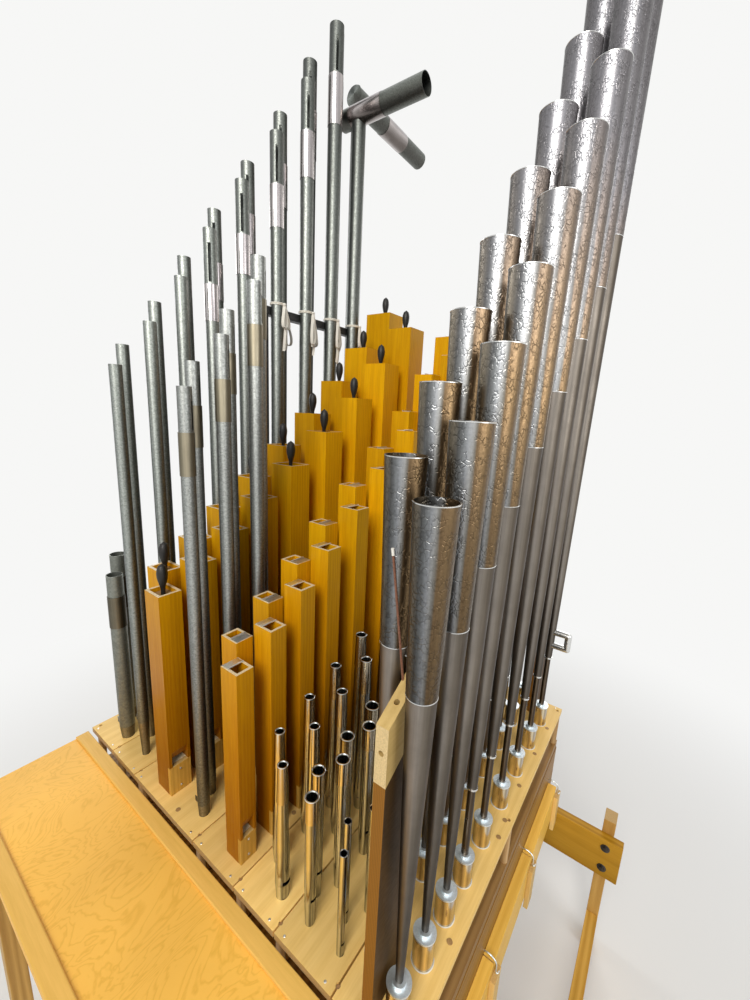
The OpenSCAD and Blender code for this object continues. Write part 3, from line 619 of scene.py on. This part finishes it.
# Painted shade toward the feet of the small pipes.
small_painted_height_light = [(1.0, 0.75), (1.12, 0.9), (1.25, 1.0), (3.5, 1.0)]
banded_metal("tin_polish", small_side, tin_reflections, 0.19, sway=0.05, painted_height_light=small_painted_height_light)
banded_metal("tin_slide", small_side, slide_reflections, 0.16, sway=0.03)
banded_metal("rim_tin", small_side, [(0.0, (0.62, 0.68, 0.70)), (1.0, (0.84, 0.88, 0.88))], 0.3)
banded_metal("sleeve_bright", string_side, sleeve_reflections, 0.24)
banded_metal("slide_lacquer", string_side, lacquer_reflections, 0.42,
             painted_height_light=[(1.0, 0.5), (1.55, 0.5), (1.75, 0.95), (3.5, 1.0)])
banded_metal("flap_sheet", small_side, [(0.0, (0.60, 0.62, 0.61)), (1.0, (0.80, 0.81, 0.80))], 0.32)
banded_metal("screw_steel", small_side, [(0.0, (0.40, 0.39, 0.37)), (1.0, (0.62, 0.61, 0.58))], 0.32)
banded_metal("bolt_iron", small_side, [(0.0, (0.06, 0.055, 0.05)), (1.0, (0.13, 0.12, 0.11))], 0.5)
print("finishes so far", len(finishes))

# %% [markdown]
# ## Black and white things
# The stopper handles are dipped in a black lacquer that has gone dull, and the tie rail is brushed with black
# paint. The ties are cotton tape, off-white with a fine weave. A thin rod of dark red wood has a white tip.

# %% Lacquer, paint and cotton
def even_finish(name, colour, worn_colour, rough, coat, ripple, depth=0.0001):
    tree, shader = start_finish(name, colour, rough, coat=coat, coat_rough=0.06)
    worn = noise(object_place(tree), ripple, 4.0, 0.6)
    join_finish(tree, shader, shades(worn, [(0.42, colour), (0.75, worn_colour)]),
                level(worn, 0.3, 0.8, rough, rough + 0.2), worn, depth)


even_finish("handle_lacquer", (0.004, 0.003, 0.002), (0.009, 0.007, 0.005), 0.42, 0.05, 60.0)
even_finish("rail_paint", (0.018, 0.018, 0.019), (0.055, 0.053, 0.052), 0.5, 0.1, 90.0)
even_finish("tape_cotton", (0.80, 0.77, 0.69), (0.93, 0.91, 0.85), 0.85, 0.0, 1200.0, 0.0003)
even_finish("felt_ring", (0.76, 0.74, 0.66), (0.88, 0.87, 0.82), 0.9, 0.0, 900.0, 0.0002)
even_finish("rod_wood", (0.15, 0.055, 0.028), (0.26, 0.11, 0.055), 0.4, 0.2, 300.0)
even_finish("rod_tip", (0.78, 0.76, 0.70), (0.88, 0.87, 0.84), 0.4, 0.2, 300.0)
print("finishes so far", len(finishes))

# %% [markdown]
# ## Reading the built solids
# A node's mesh arrives as loose triangles, so a copy is merged before anything is bevelled. The copy is then
# walked solid by solid: each gets its own tone for the wood and zinc, and its place measured from its own
# axis, which the painted reflection bands of the metals need. A tube that lies down is turned upright for
# that second value. Copies replace the nodes that they were made from.

# %% Solids, tones and lathe places
merge_gap = 0.00002
rim_gap = 0.0004
lying_share = 1.6
sharp_turn = math.radians(38)
dressed = []


def merged_copy(node):
    bm = bmesh.new()
    bm.from_mesh(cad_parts[node].data)
    bmesh.ops.remove_doubles(bm, verts=bm.verts, dist=merge_gap)
    return bm


def solids_in(bm):
    bm.verts.index_update()
    reached = set()
    found = []
    for start in bm.verts:
        if start.index in reached:
            continue
        reached.add(start.index)
        solid, front = [], [start]
        while front:
            vert = front.pop()
            solid.append(vert)
            for edge in vert.link_edges:
                other = edge.other_vert(vert)
                if other.index not in reached:
                    reached.add(other.index)
                    front.append(other)
        found.append(solid)
    return found


def corners(places):
    low = Vector([min(place[axis] for place in places) for axis in range(3)])
    high = Vector([max(place[axis] for place in places) for axis in range(3)])
    return low, high


def box_of(solid):
    return corners([vert.co for vert in solid])


def rim_of(solid, at_top=True):
    low, high = box_of(solid)
    height = high.z if at_top else low.z
    rim = [vert.co for vert in solid if abs(vert.co.z - height) < rim_gap]
    near, far = corners(rim)
    middle = (near + far) / 2
    return Vector((middle.x, middle.y, height)), max((place - middle).xy.length for place in rim)


def upright(offset, size):
    if size.x > lying_share * max(size.y, size.z):
        return Vector((-offset.z, offset.y, offset.x))
    if size.y > lying_share * max(size.x, size.z):
        return Vector((-offset.z, offset.x, offset.y))
    return offset


def mark_solids(bm, seed):
    tone = bm.verts.layers.float.new("tone")
    lathe = bm.verts.layers.float_vector.new("lathe")
    draws = random.Random(seed)
    solids = sorted(solids_in(bm), key=lambda solid: tuple(round(value, 4) for value in box_of(solid)[0]))
    for solid in solids:
        low, high = box_of(solid)
        size = high - low
        axis = (low + high) / 2
        if size.z > lying_share * max(size.x, size.y):
            axis = rim_of(solid)[0]
        shade = draws.random()
        for vert in solid:
            vert[tone] = shade
            vert[lathe] = upright(vert.co - axis, size)
    return len(solids)


def hand_over(bm, name, worn, nodes=(), round_shape=True):
    mesh = bpy.data.meshes.new(name)
    bm.to_mesh(mesh)
    bm.free()
    for carried in [layer for layer in mesh.attributes if layer.name == "custom_normal"]:
        mesh.attributes.remove(carried)
    for finish in worn:
        mesh.materials.append(finishes[finish])
    mesh.shade_smooth() if round_shape else mesh.shade_flat()
    if round_shape:
        mesh.set_sharp_from_angle(angle=sharp_turn)
    piece = bpy.data.objects.new(name, mesh)
    bpy.context.scene.collection.objects.link(piece)
    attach(piece, "root")
    if nodes:
        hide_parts(*nodes)
        dressed.extend(nodes)


def add_trim(bm, name, finish, seed, round_shape=True):
    mark_solids(bm, seed)
    hand_over(bm, name, [finish], round_shape=round_shape)


print("nodes in the frame", len(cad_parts))

# %% [markdown]
# ## Timber with eased edges
# Nothing made at a bench has a perfectly sharp edge: the maker takes each one off with a plane. The coplanar
# triangles of the copy are joined back into whole faces, then every sharp edge is bevelled, widely on the
# walkboard's strips and by a fraction of a millimetre on the rims of the pipes.

# %% Eased timber
flat_enough = math.radians(0.5)
timber_turn = math.radians(32)
shortest_share = 3


def ease_edges(node, finish, ease, seed, turn, wanted, segments):
    bm = merged_copy(node)
    bmesh.ops.dissolve_limit(bm, angle_limit=flat_enough, verts=bm.verts, edges=bm.edges)
    count = mark_solids(bm, seed)
    sharp = [edge for edge in bm.edges if len(edge.link_faces) == 2
             and edge.calc_face_angle(0) > turn and wanted(edge)]
    bmesh.ops.bevel(bm, geom=sharp, offset=ease, segments=segments, profile=0.5, affect="EDGES",
                    clamp_overlap=True, material=-1)
    hand_over(bm, node + "_eased", [finish], [node], round_shape=False)
    print(node, count, "solids,", len(sharp), "edges eased")


timber = [
    ("bearers", "beam_pine", "frame_timber", 0.0025), ("posts", "leg_pine", "frame_timber", 0.002),
    ("stretchers", "stretcher_pine", "frame_timber", 0.0025),
    ("chest_bottom", "case_pine", "case_wood", 0.001),
    ("chest_ends", "case_pine_across", "case_wood", 0.001), ("chest_sides", "case_pine", "case_wood", 0.001),
    ("chest_top", "case_pine", "case_wood", 0.001), ("bung_boards", "bung_pine", "bung_wood", 0.002),
    ("bung_cleats", "cleat_pine", "case_wood", 0.0015), ("toeboards", "toe_pine", "case_wood", 0.001),
    ("walkboard", "walk_ply", "walk_ply", 0.001), ("walkboard_strips", "strip_wood", "walk_ply", 0.003),
    ("walkboard_frame", "leg_pine", "frame_timber", 0.002), ("reed_rail", "rail_birch", "rail_wood", 0.0012),
    ("reed_rail_posts", "stained_ply", "post_wood", 0.0012), ("tie_rail", "rail_paint", "black_wood", 0.0012),
    ("tie_rail_posts", "rail_paint", "black_wood", 0.0012),
    ("open_bodies", "pipe_varnish", "pipe_wood", 0.0009),
    ("stopped_bodies", "pipe_varnish", "pipe_wood", 0.0009),
    ("open_caps", "cap_wood", "pipe_wood", 0.0012), ("stopped_caps", "cap_wood", "pipe_wood", 0.0012),
]
for seed, (node, finish, slot, ease) in enumerate(timber):
    ease_edges(node, finish, ease, seed, timber_turn,
               lambda edge: edge.calc_length() > shortest_share * ease, segments=2)

# %% [markdown]
# ## Rackboards
# The seven rackboards are drilled hardwood, satin varnished, and their long edges are rounded over. Only the
# straight edges are bevelled: the holes stay crisp, because a foot fills each of them to the rim.

# %% Rackboards
rack_ease = 0.0022
shortest_straight = 0.012
rack_turn = math.radians(80)
first_rack_seed = 40
axis_match = 0.9999
rackboards = [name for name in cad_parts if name.startswith("rackboard_")]


def straight_edge(edge):
    along = (edge.verts[1].co - edge.verts[0].co).normalized()
    return max(abs(along.x), abs(along.y)) > axis_match and edge.calc_length() > shortest_straight


for seed, node in enumerate(rackboards, first_rack_seed):
    ease_edges(node, "rack_maple", rack_ease, seed, rack_turn, straight_edge, segments=3)

# %% [markdown]
# ## Metal pipes and turned parts
# The pipes' walls, mouths and slots are already cut in the frame, so a merged copy with smooth shading keeps
# their true form. Some nodes hold two finishes: the rings of the stems are bright solder, the stoppers under
# the black handles are plain wood, and the feet are zinc in the long ranks and tin in the small ones. The
# faces that take the second finish are found by where they lie.

# %% Smooth metal
ring_level = 1.266
stopper_height = 0.0605
tin_feet_end = 0.05
first_metal_seed = 100
second_finishes = {
    "reed_stems": ("seam_solder", lambda middle, low: middle.z > ring_level),
    "stoppers": ("stopper_pine", lambda middle, low: middle.z < low.z + stopper_height),
    "metal_feet": ("tin_polish", lambda middle, low: middle.y < tin_feet_end),
}


def smooth_metal(node, finish, seed):
    bm = merged_copy(node)
    mark_solids(bm, seed)
    worn = [finish]
    if node in second_finishes:
        second, belongs = second_finishes[node]
        worn.append(second)
        for solid in solids_in(bm):
            low = box_of(solid)[0]
            for face in {face for vert in solid for face in vert.link_faces}:
                face.material_index = int(belongs(face.calc_center_median(), low))
    hand_over(bm, node + "_smooth", worn, [node])


metalwork = [
    ("string_bodies", "crystal_zinc", "zinc"), ("mitre_arms", "dark_zinc", "zinc"),
    ("light_bodies", "light_zinc", "zinc"),
    ("metal_feet", "foot_zinc", "zinc"), ("flute_bodies", "pale_zinc", "pale_zinc"),
    ("reed_bells", "bell_metal", "bell_metal"), ("reed_cones", "cone_metal", "cone_metal"),
    ("reed_stems", "stem_metal", "cone_metal"),
    ("reed_bypass", "seam_solder", "boot_metal"), ("reed_hooks", "flap_sheet", "block_metal"),
    ("reed_boots", "boot_polish", "boot_metal"), ("reed_blocks", "flange_satin", "block_metal"),
    ("taper_bodies", "tin_polish", "tin"), ("round_bodies", "tin_polish", "tin"),
    ("narrow_bodies", "tin_polish", "tin"),
    ("small_slides", "tin_slide", "tin"), ("string_sleeves", "sleeve_bright", "sleeve_metal"),
    ("string_beards", "sleeve_bright", "sleeve_metal"), ("light_slides", "slide_lacquer", "slide_metal"),
    ("tuning_flaps", "flap_sheet", "zinc"), ("stoppers", "handle_lacquer", "stopper_wood"),
    ("wood_feet", "foot_wood", "pipe_wood"), ("rack_pins", "pin_wood", "case_wood"),
]
for seed, (node, finish, slot) in enumerate(metalwork, first_metal_seed):
    smooth_metal(node, finish, seed)
print("dressed", len(dressed), "of", len(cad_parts))

# %% [markdown]
# ## Wired rims and soldered seams
# A bell's rim is stiffened with a thin bead, the seam between bell and cone is a line of solder, and each
# boot stands in a thin felt ring on the board. All are hoops: a small circle spun once around the pipe's
# axis. Their places are read from the ends of the built pipes, so they sit where the metal is.

# %% Hoops
def hoop(bm, middle, radius, wire, steps=36, sides=6):
    made = bmesh.ops.create_circle(bm, segments=sides, radius=wire)["verts"]
    bmesh.ops.rotate(bm, verts=made, cent=(0, 0, 0), matrix=Matrix.Rotation(math.radians(90), 3, "X"))
    bmesh.ops.translate(bm, verts=made, vec=middle + Vector((radius, 0, 0)))
    edges = list({edge for vert in made for edge in vert.link_edges})
    bmesh.ops.spin(bm, geom=made + edges, cent=middle, axis=(0, 0, 1), angle=math.tau, steps=steps,
                   use_merge=True)


def hoops(name, places, finish, seed, steps=36):
    bm = bmesh.new()
    for middle, radius, wire in places:
        hoop(bm, middle, radius, wire, steps)
    bmesh.ops.recalc_face_normals(bm, faces=bm.faces)
    add_trim(bm, name, finish, seed)
    print(name, len(places))


def measured_solids(node, measure):
    bm = merged_copy(node)
    found = [measure(solid) for solid in solids_in(bm)]
    bm.free()
    return sorted(found, key=lambda measured: tuple(round(value, 4) for value in measured[0]))


def rims_in(node, at_top=True):
    return measured_solids(node, lambda solid: rim_of(solid, at_top))


def inset_hoops(node, wire, at_top):
    drop = Vector((0, 0, -wire if at_top else wire))
    return [(middle + drop, radius - sunk_share * wire, wire) for middle, radius in rims_in(node, at_top)]


rack_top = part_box("rackboard_reed")[1][2]
felt_wire = 0.0013
felt_spread = 0.6
sunk_share = 0.4
first_hoop_seed = 200
hooped_ends = [
    ("bell_rims", "reed_bells", 0.0012, True, "seam_solder", "bell_metal", 48),
    ("bell_seams", "reed_bells", 0.0010, False, "seam_solder", "cone_metal", 42),
    ("slide_rims", "small_slides", 0.0013, True, "rim_tin", "tin", 28),
    ("sleeve_rims", "light_slides", 0.0006, True, "slide_lacquer", "slide_metal", 30),
]
for seed, (name, node, wire, at_top, finish, slot, steps) in enumerate(hooped_ends, first_hoop_seed):
    hoops(name, inset_hoops(node, wire, at_top), finish, seed, steps)
boot_rings = [(Vector((middle.x, middle.y, rack_top + felt_wire)), radius + felt_spread * felt_wire,
               felt_wire) for middle, radius in rims_in("reed_boots")]
hoops("boot_rings", boot_rings, "felt_ring", first_hoop_seed + len(hooped_ends))

# %% [markdown]
# ## Screws, plugs and bolts
# Two slotted screws hold each wood pipe's cap so that it can be taken off. One head is modelled in a few
# dozen faces: a disc is raised and narrowed, two cuts mark the slot, and the strip between them is pushed
# down. It is then planted wherever a cap is. Each rackboard has a screw at its corners, some older holes are
# closed with turned wood plugs, and the bearers are held by bolts with wide washers.

# %% Screw heads and plugs
head_narrowing = 0.72
head_sides = 12
crown_share = 0.95


def new_verts(result):
    return [part for part in result["geom"] if isinstance(part, bmesh.types.BMVert)]


def raised_disc(bm, radius, height, narrowing, sides):
    bmesh.ops.create_circle(bm, cap_ends=True, segments=sides, radius=radius)
    crown = new_verts(bmesh.ops.extrude_face_region(bm, geom=list(bm.faces)))
    bmesh.ops.translate(bm, verts=crown, vec=(0, 0, height))
    bmesh.ops.scale(bm, verts=crown, vec=(narrowing, narrowing, 1))


def kept_mesh(bm, name):
    bmesh.ops.recalc_face_normals(bm, faces=bm.faces)
    mesh = bpy.data.meshes.new(name)
    bm.to_mesh(mesh)
    bm.free()
    return mesh


def slotted_head(radius, height, slot_half, slot_depth):
    bm = bmesh.new()
    raised_disc(bm, radius, height, head_narrowing, head_sides)
    for side in (-1, 1):
        bmesh.ops.bisect_plane(bm, geom=bm.verts[:] + bm.edges[:] + bm.faces[:],
                               plane_co=(side * slot_half, 0, 0), plane_no=(1, 0, 0))
    strip = [face for face in bm.faces if abs(face.calc_center_median().x) < slot_half
             and face.calc_center_median().z > crown_share * height]
    sunk = new_verts(bmesh.ops.extrude_face_region(bm, geom=strip))
    bmesh.ops.translate(bm, verts=sunk, vec=(0, 0, -slot_depth))
    bmesh.ops.delete(bm, geom=[face for face in strip if face.is_valid], context="FACES_ONLY")
    return kept_mesh(bm, "slotted_head")


def disc_mesh(name, radius, height, narrowing, sides):
    bm = bmesh.new()
    raised_disc(bm, radius, height, narrowing, sides)
    return kept_mesh(bm, name)


def plant(bm, template, matrix):
    first = len(bm.verts)
    bm.from_mesh(template)
    bm.verts.ensure_lookup_table()
    bmesh.ops.transform(bm, matrix=matrix, verts=bm.verts[first:])


def facing(place, direction, roll=0.0):
    turn = Vector((0, 0, 1)).rotation_difference(Vector(direction)).to_matrix().to_4x4()
    return Matrix.Translation(place) @ turn @ Matrix.Rotation(math.radians(roll), 4, "Z")


cap_screw = slotted_head(0.0036, 0.0012, 0.0005, 0.0007)
screw_shares = (0.2, 0.8)
draws = random.Random(31)
bm = bmesh.new()
for caps, bodies in (("open_caps", "open_bodies"), ("stopped_caps", "stopped_bodies")):
    middles = [(low + high) / 2 for low, high in measured_solids(bodies, box_of)]
    for low, high in measured_solids(caps, box_of):
        centre = (low + high) / 2
        body = min(middles, key=lambda middle: (middle - centre).xy.length)
        outward = -1 if centre.y < body.y else 1
        outer_y = low.y if outward < 0 else high.y
        for share in screw_shares:
            spot = Vector((centre.x, outer_y, low.z + share * (high.z - low.z)))
            plant(bm, cap_screw, facing(spot, (0, outward, 0), draws.uniform(0, 180)))
add_trim(bm, "cap_screws", "screw_steel", seed=300, round_shape=False)

rack_corner = Vector(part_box("chest_bottom")[0])
plug_spots = [(0.219, 0.023), (0.506, 0.020), (0.564, 0.023), (0.702, 0.026), (0.537, 0.060),
              (0.022, 0.753), (0.214, 0.498), (0.860, 0.024), (1.010, 0.022)]
plug = disc_mesh("rack_plug", 0.0068, 0.0012, 0.86, 20)
bm = bmesh.new()
for x, y in plug_spots:
    plant(bm, plug, facing((rack_corner.x + x, rack_corner.y + y, rack_top), (0, 0, 1)))
add_trim(bm, "rack_plugs", "plug_wood", seed=301, round_shape=False)

board_screw = slotted_head(0.0030, 0.0008, 0.0004, 0.0005)
screw_inset = (0.010, 0.022)
bm = bmesh.new()
for node in rackboards:
    low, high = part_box(node)
    for x in (low[0] + screw_inset[0], high[0] - screw_inset[0]):
        for y in (low[1] + screw_inset[1], high[1] - screw_inset[1]):
            plant(bm, board_screw, facing((x, y, rack_top), (0, 0, 1), draws.uniform(0, 180)))
add_trim(bm, "board_screws", "screw_steel", seed=302, round_shape=False)
print("screws and plugs planted")

# %% Bolts with washers
washer = disc_mesh("washer", 0.016, 0.0025, 0.95, 24)
bolt_head = disc_mesh("bolt_head", 0.010, 0.009, 0.9, 6)
bolt_drops = (0.035, 0.125)
bolt_turn = 11
bearer_boxes = measured_solids("bearers", box_of)
post_middles = sorted({round((low.y + high.y) / 2, 4) for low, high in measured_solids("posts", box_of)})
bm = bmesh.new()
for (low, high), side in zip(bearer_boxes, (1, -1)):
    face_x = high.x if side > 0 else low.x
    for y in post_middles:
        for drop in bolt_drops:
            spot = Vector((face_x, y, high.z - drop))
            plant(bm, washer, facing(spot, (side, 0, 0)))
            plant(bm, bolt_head, facing(spot, (side, 0, 0), bolt_turn))
add_trim(bm, "bearer_bolts", "bolt_iron", seed=303, round_shape=False)
print("bolts", 2 * len(post_middles) * len(bolt_drops))

# %% [markdown]
# ## Clips on the bung boards
# The bung boards close the windchest and come off for repairs, so bent wire clips hold them at the joints.
# A clip is a round wire along a bent path, which a curve with a bevel draws well. The curve is made a mesh
# afterwards, because its place has to be in the mesh.

# %% Wire clips
def wire_mesh(path, radius, sides=3):
    curve = bpy.data.curves.new("wire", "CURVE")
    curve.dimensions = "3D"
    curve.bevel_depth = radius
    curve.bevel_resolution = sides
    curve.use_fill_caps = True
    line = curve.splines.new("BEZIER")
    line.bezier_points.add(len(path) - 1)
    for point, place in zip(line.bezier_points, path):
        point.co = place
        point.handle_left_type = point.handle_right_type = "AUTO"
    line.resolution_u = 6
    drawn = bpy.data.objects.new("wire", curve)
    mesh = bpy.data.meshes.new_from_object(drawn)
    bpy.data.objects.remove(drawn)
    return mesh


def join_wires(name, wires, finish, seed):
    bm = bmesh.new()
    for mesh in wires:
        bm.from_mesh(mesh)
    bmesh.ops.remove_doubles(bm, verts=bm.verts, dist=merge_gap)
    bmesh.ops.recalc_face_normals(bm, faces=bm.faces)
    add_trim(bm, name, finish, seed)


clip_wire = 0.0021
clip_shape = [(0, 0, 0.014), (0, -0.012, 0.016), (0, -0.024, 0.014), (0, -0.034, 0.006),
              (0, -0.0365, -0.010), (0, -0.0365, -0.024), (0.003, -0.040, -0.030), (0.008, -0.043, -0.024)]
bung_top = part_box("bung_boards")[1][2]
clips = []
for low, high in measured_solids("bung_cleats", box_of):
    middle = (low.x + high.x) / 2
    foot = Vector((middle, rack_corner.y, bung_top))
    clips.append(wire_mesh([foot + Vector(step) for step in clip_shape], clip_wire))
join_wires("bung_clips", clips, "rim_tin", 310)
print("clips", len(clips))

# %% [markdown]
# ## The tuner's rod
# A thin rod stands in the rail beside the first reeds, leaning a little, with a white tip.

# %% Rod with a white tip
rod_foot = Vector((rack_corner.x + 0.092, rack_corner.y + 0.106, rack_top + 0.652))
rod_top = Vector((rack_corner.x + 0.078, rack_corner.y + 0.134, rack_top + 0.892))
rod_wire = 0.0021
tip_wire = 0.0027
tip_share = 0.95
tip_start = rod_foot.lerp(rod_top, tip_share)
shaft = wire_mesh([rod_foot, rod_foot.lerp(rod_top, 0.5), tip_start], rod_wire)
tip = wire_mesh([tip_start, tip_start.lerp(rod_top, 0.5), rod_top], tip_wire)
join_wires("tuner_rod", [shaft], "rod_wood", 311)
join_wires("tuner_rod_tip", [tip], "rod_tip", 312)
print("rod length", round((rod_top - rod_foot).length, 3))

# %% [markdown]
# ## Cotton ties
# Each long string pipe is tied to the black rail with a cotton tape: one turn around the pipe, a knot, two
# bows and two tails. Tape is flat, so a single edge is extruded step by step along each path and then given
# its thickness. Bows that hang follow a teardrop, and the tails fall with a slight wave.

# %% Tapes
tape_half = 0.0050
tape_thick = 0.0009
bow_drop = 0.105
bow_width = 0.019
tail_drop = 0.150
turn_wire = 0.0023
knot_radius = 0.0075
knot_flatness = 0.75
front_turn = -62
back_turn = 18
tape_turn = Vector((0.83, -0.55, 0.0))


def tape(bm, path, across):
    ends = bmesh.ops.create_vert(bm, co=path[0] - across)["vert"] + bmesh.ops.create_vert(
        bm, co=path[0] + across)["vert"]
    edge = bm.edges.new(ends)
    for here, there in zip(path, path[1:]):
        moved = bmesh.ops.extrude_edge_only(bm, edges=[edge])["geom"]
        verts = [part for part in moved if isinstance(part, bmesh.types.BMVert)]
        edge = next(part for part in moved if isinstance(part, bmesh.types.BMEdge)
                    and all(vert in verts for vert in part.verts))
        bmesh.ops.translate(bm, verts=verts, vec=there - here)


def bow_path(knot, sideways, outward, side, drop):
    steps = 12
    path = []
    for step in range(steps + 1):
        t = step / steps
        fall = math.sin(math.pi * t) ** 0.85
        spread = side * 0.9 * math.sin(math.pi * t) + 0.8 * math.sin(math.tau * t)
        lift = 0.5 * math.sin(math.pi * min(1, 2.2 * t)) if t < 0.5 else 0.0
        path.append(knot + sideways * bow_width * spread + outward * 0.006 * (fall + lift)
                    - Vector((0, 0, drop * fall)))
    return path


def tail_path(knot, sideways, outward, side, drop):
    steps = 9
    return [knot + sideways * side * (0.004 + 0.007 * math.sin(1.9 * step / steps) + 0.0015 * math.sin(step))
            + outward * 0.005 * math.sin(math.pi * step / steps) - Vector((0, 0, drop * step / steps))
            for step in range(steps + 1)]


tie_low, tie_high = (Vector(corner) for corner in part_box("tie_rail"))
rail_middle_y = (tie_low.y + tie_high.y) / 2
tie_level = tie_high.z + 0.006
draws = random.Random(57)
flat_parts = bmesh.new()
rings = bmesh.new()
knots = bmesh.new()
tied = 0
for middle, radius in rims_in("string_bodies", at_top=False):
    if middle.x < tie_low.x + 0.01:
        continue
    tied += 1
    front = middle.y < rail_middle_y
    angle = math.radians(front_turn if front else back_turn)
    outward = Vector((math.cos(angle), math.sin(angle), 0))
    sideways = Vector((-math.sin(angle), math.cos(angle), 0))
    centre = Vector((middle.x, middle.y, tie_level))
    for rise in (0.0, 0.0045):
        hoop(rings, centre + Vector((0, 0, rise)), radius + tape_thick, turn_wire, steps=32)
    knot = centre + outward * (radius + 0.004) + Vector((0, 0, 0.002))
    lump = bmesh.ops.create_icosphere(knots, subdivisions=2, radius=knot_radius)["verts"]
    bmesh.ops.scale(knots, verts=lump, vec=(1.0, 1.0, knot_flatness))
    bmesh.ops.translate(knots, verts=lump, vec=knot)
    across = tape_turn * tape_half
    for side in (-1, 1):
        drop = bow_drop * draws.uniform(0.75, 1.15)
        tape(flat_parts, bow_path(knot, sideways, outward, side, drop), across)
        drop = tail_drop * draws.uniform(0.8, 1.2)
        tape(flat_parts, tail_path(knot, sideways, outward, side * 0.6, drop), across * 0.9)
bmesh.ops.recalc_face_normals(flat_parts, faces=flat_parts.faces)
bmesh.ops.solidify(flat_parts, geom=flat_parts.faces[:], thickness=tape_thick)
for name, bm, seed in (("tie_bows", flat_parts, 320), ("tie_turns", rings, 321), ("tie_knots", knots, 322)):
    bmesh.ops.recalc_face_normals(bm, faces=bm.faces)
    add_trim(bm, name, "tape_cotton", seed)
print("pipes tied", tied)
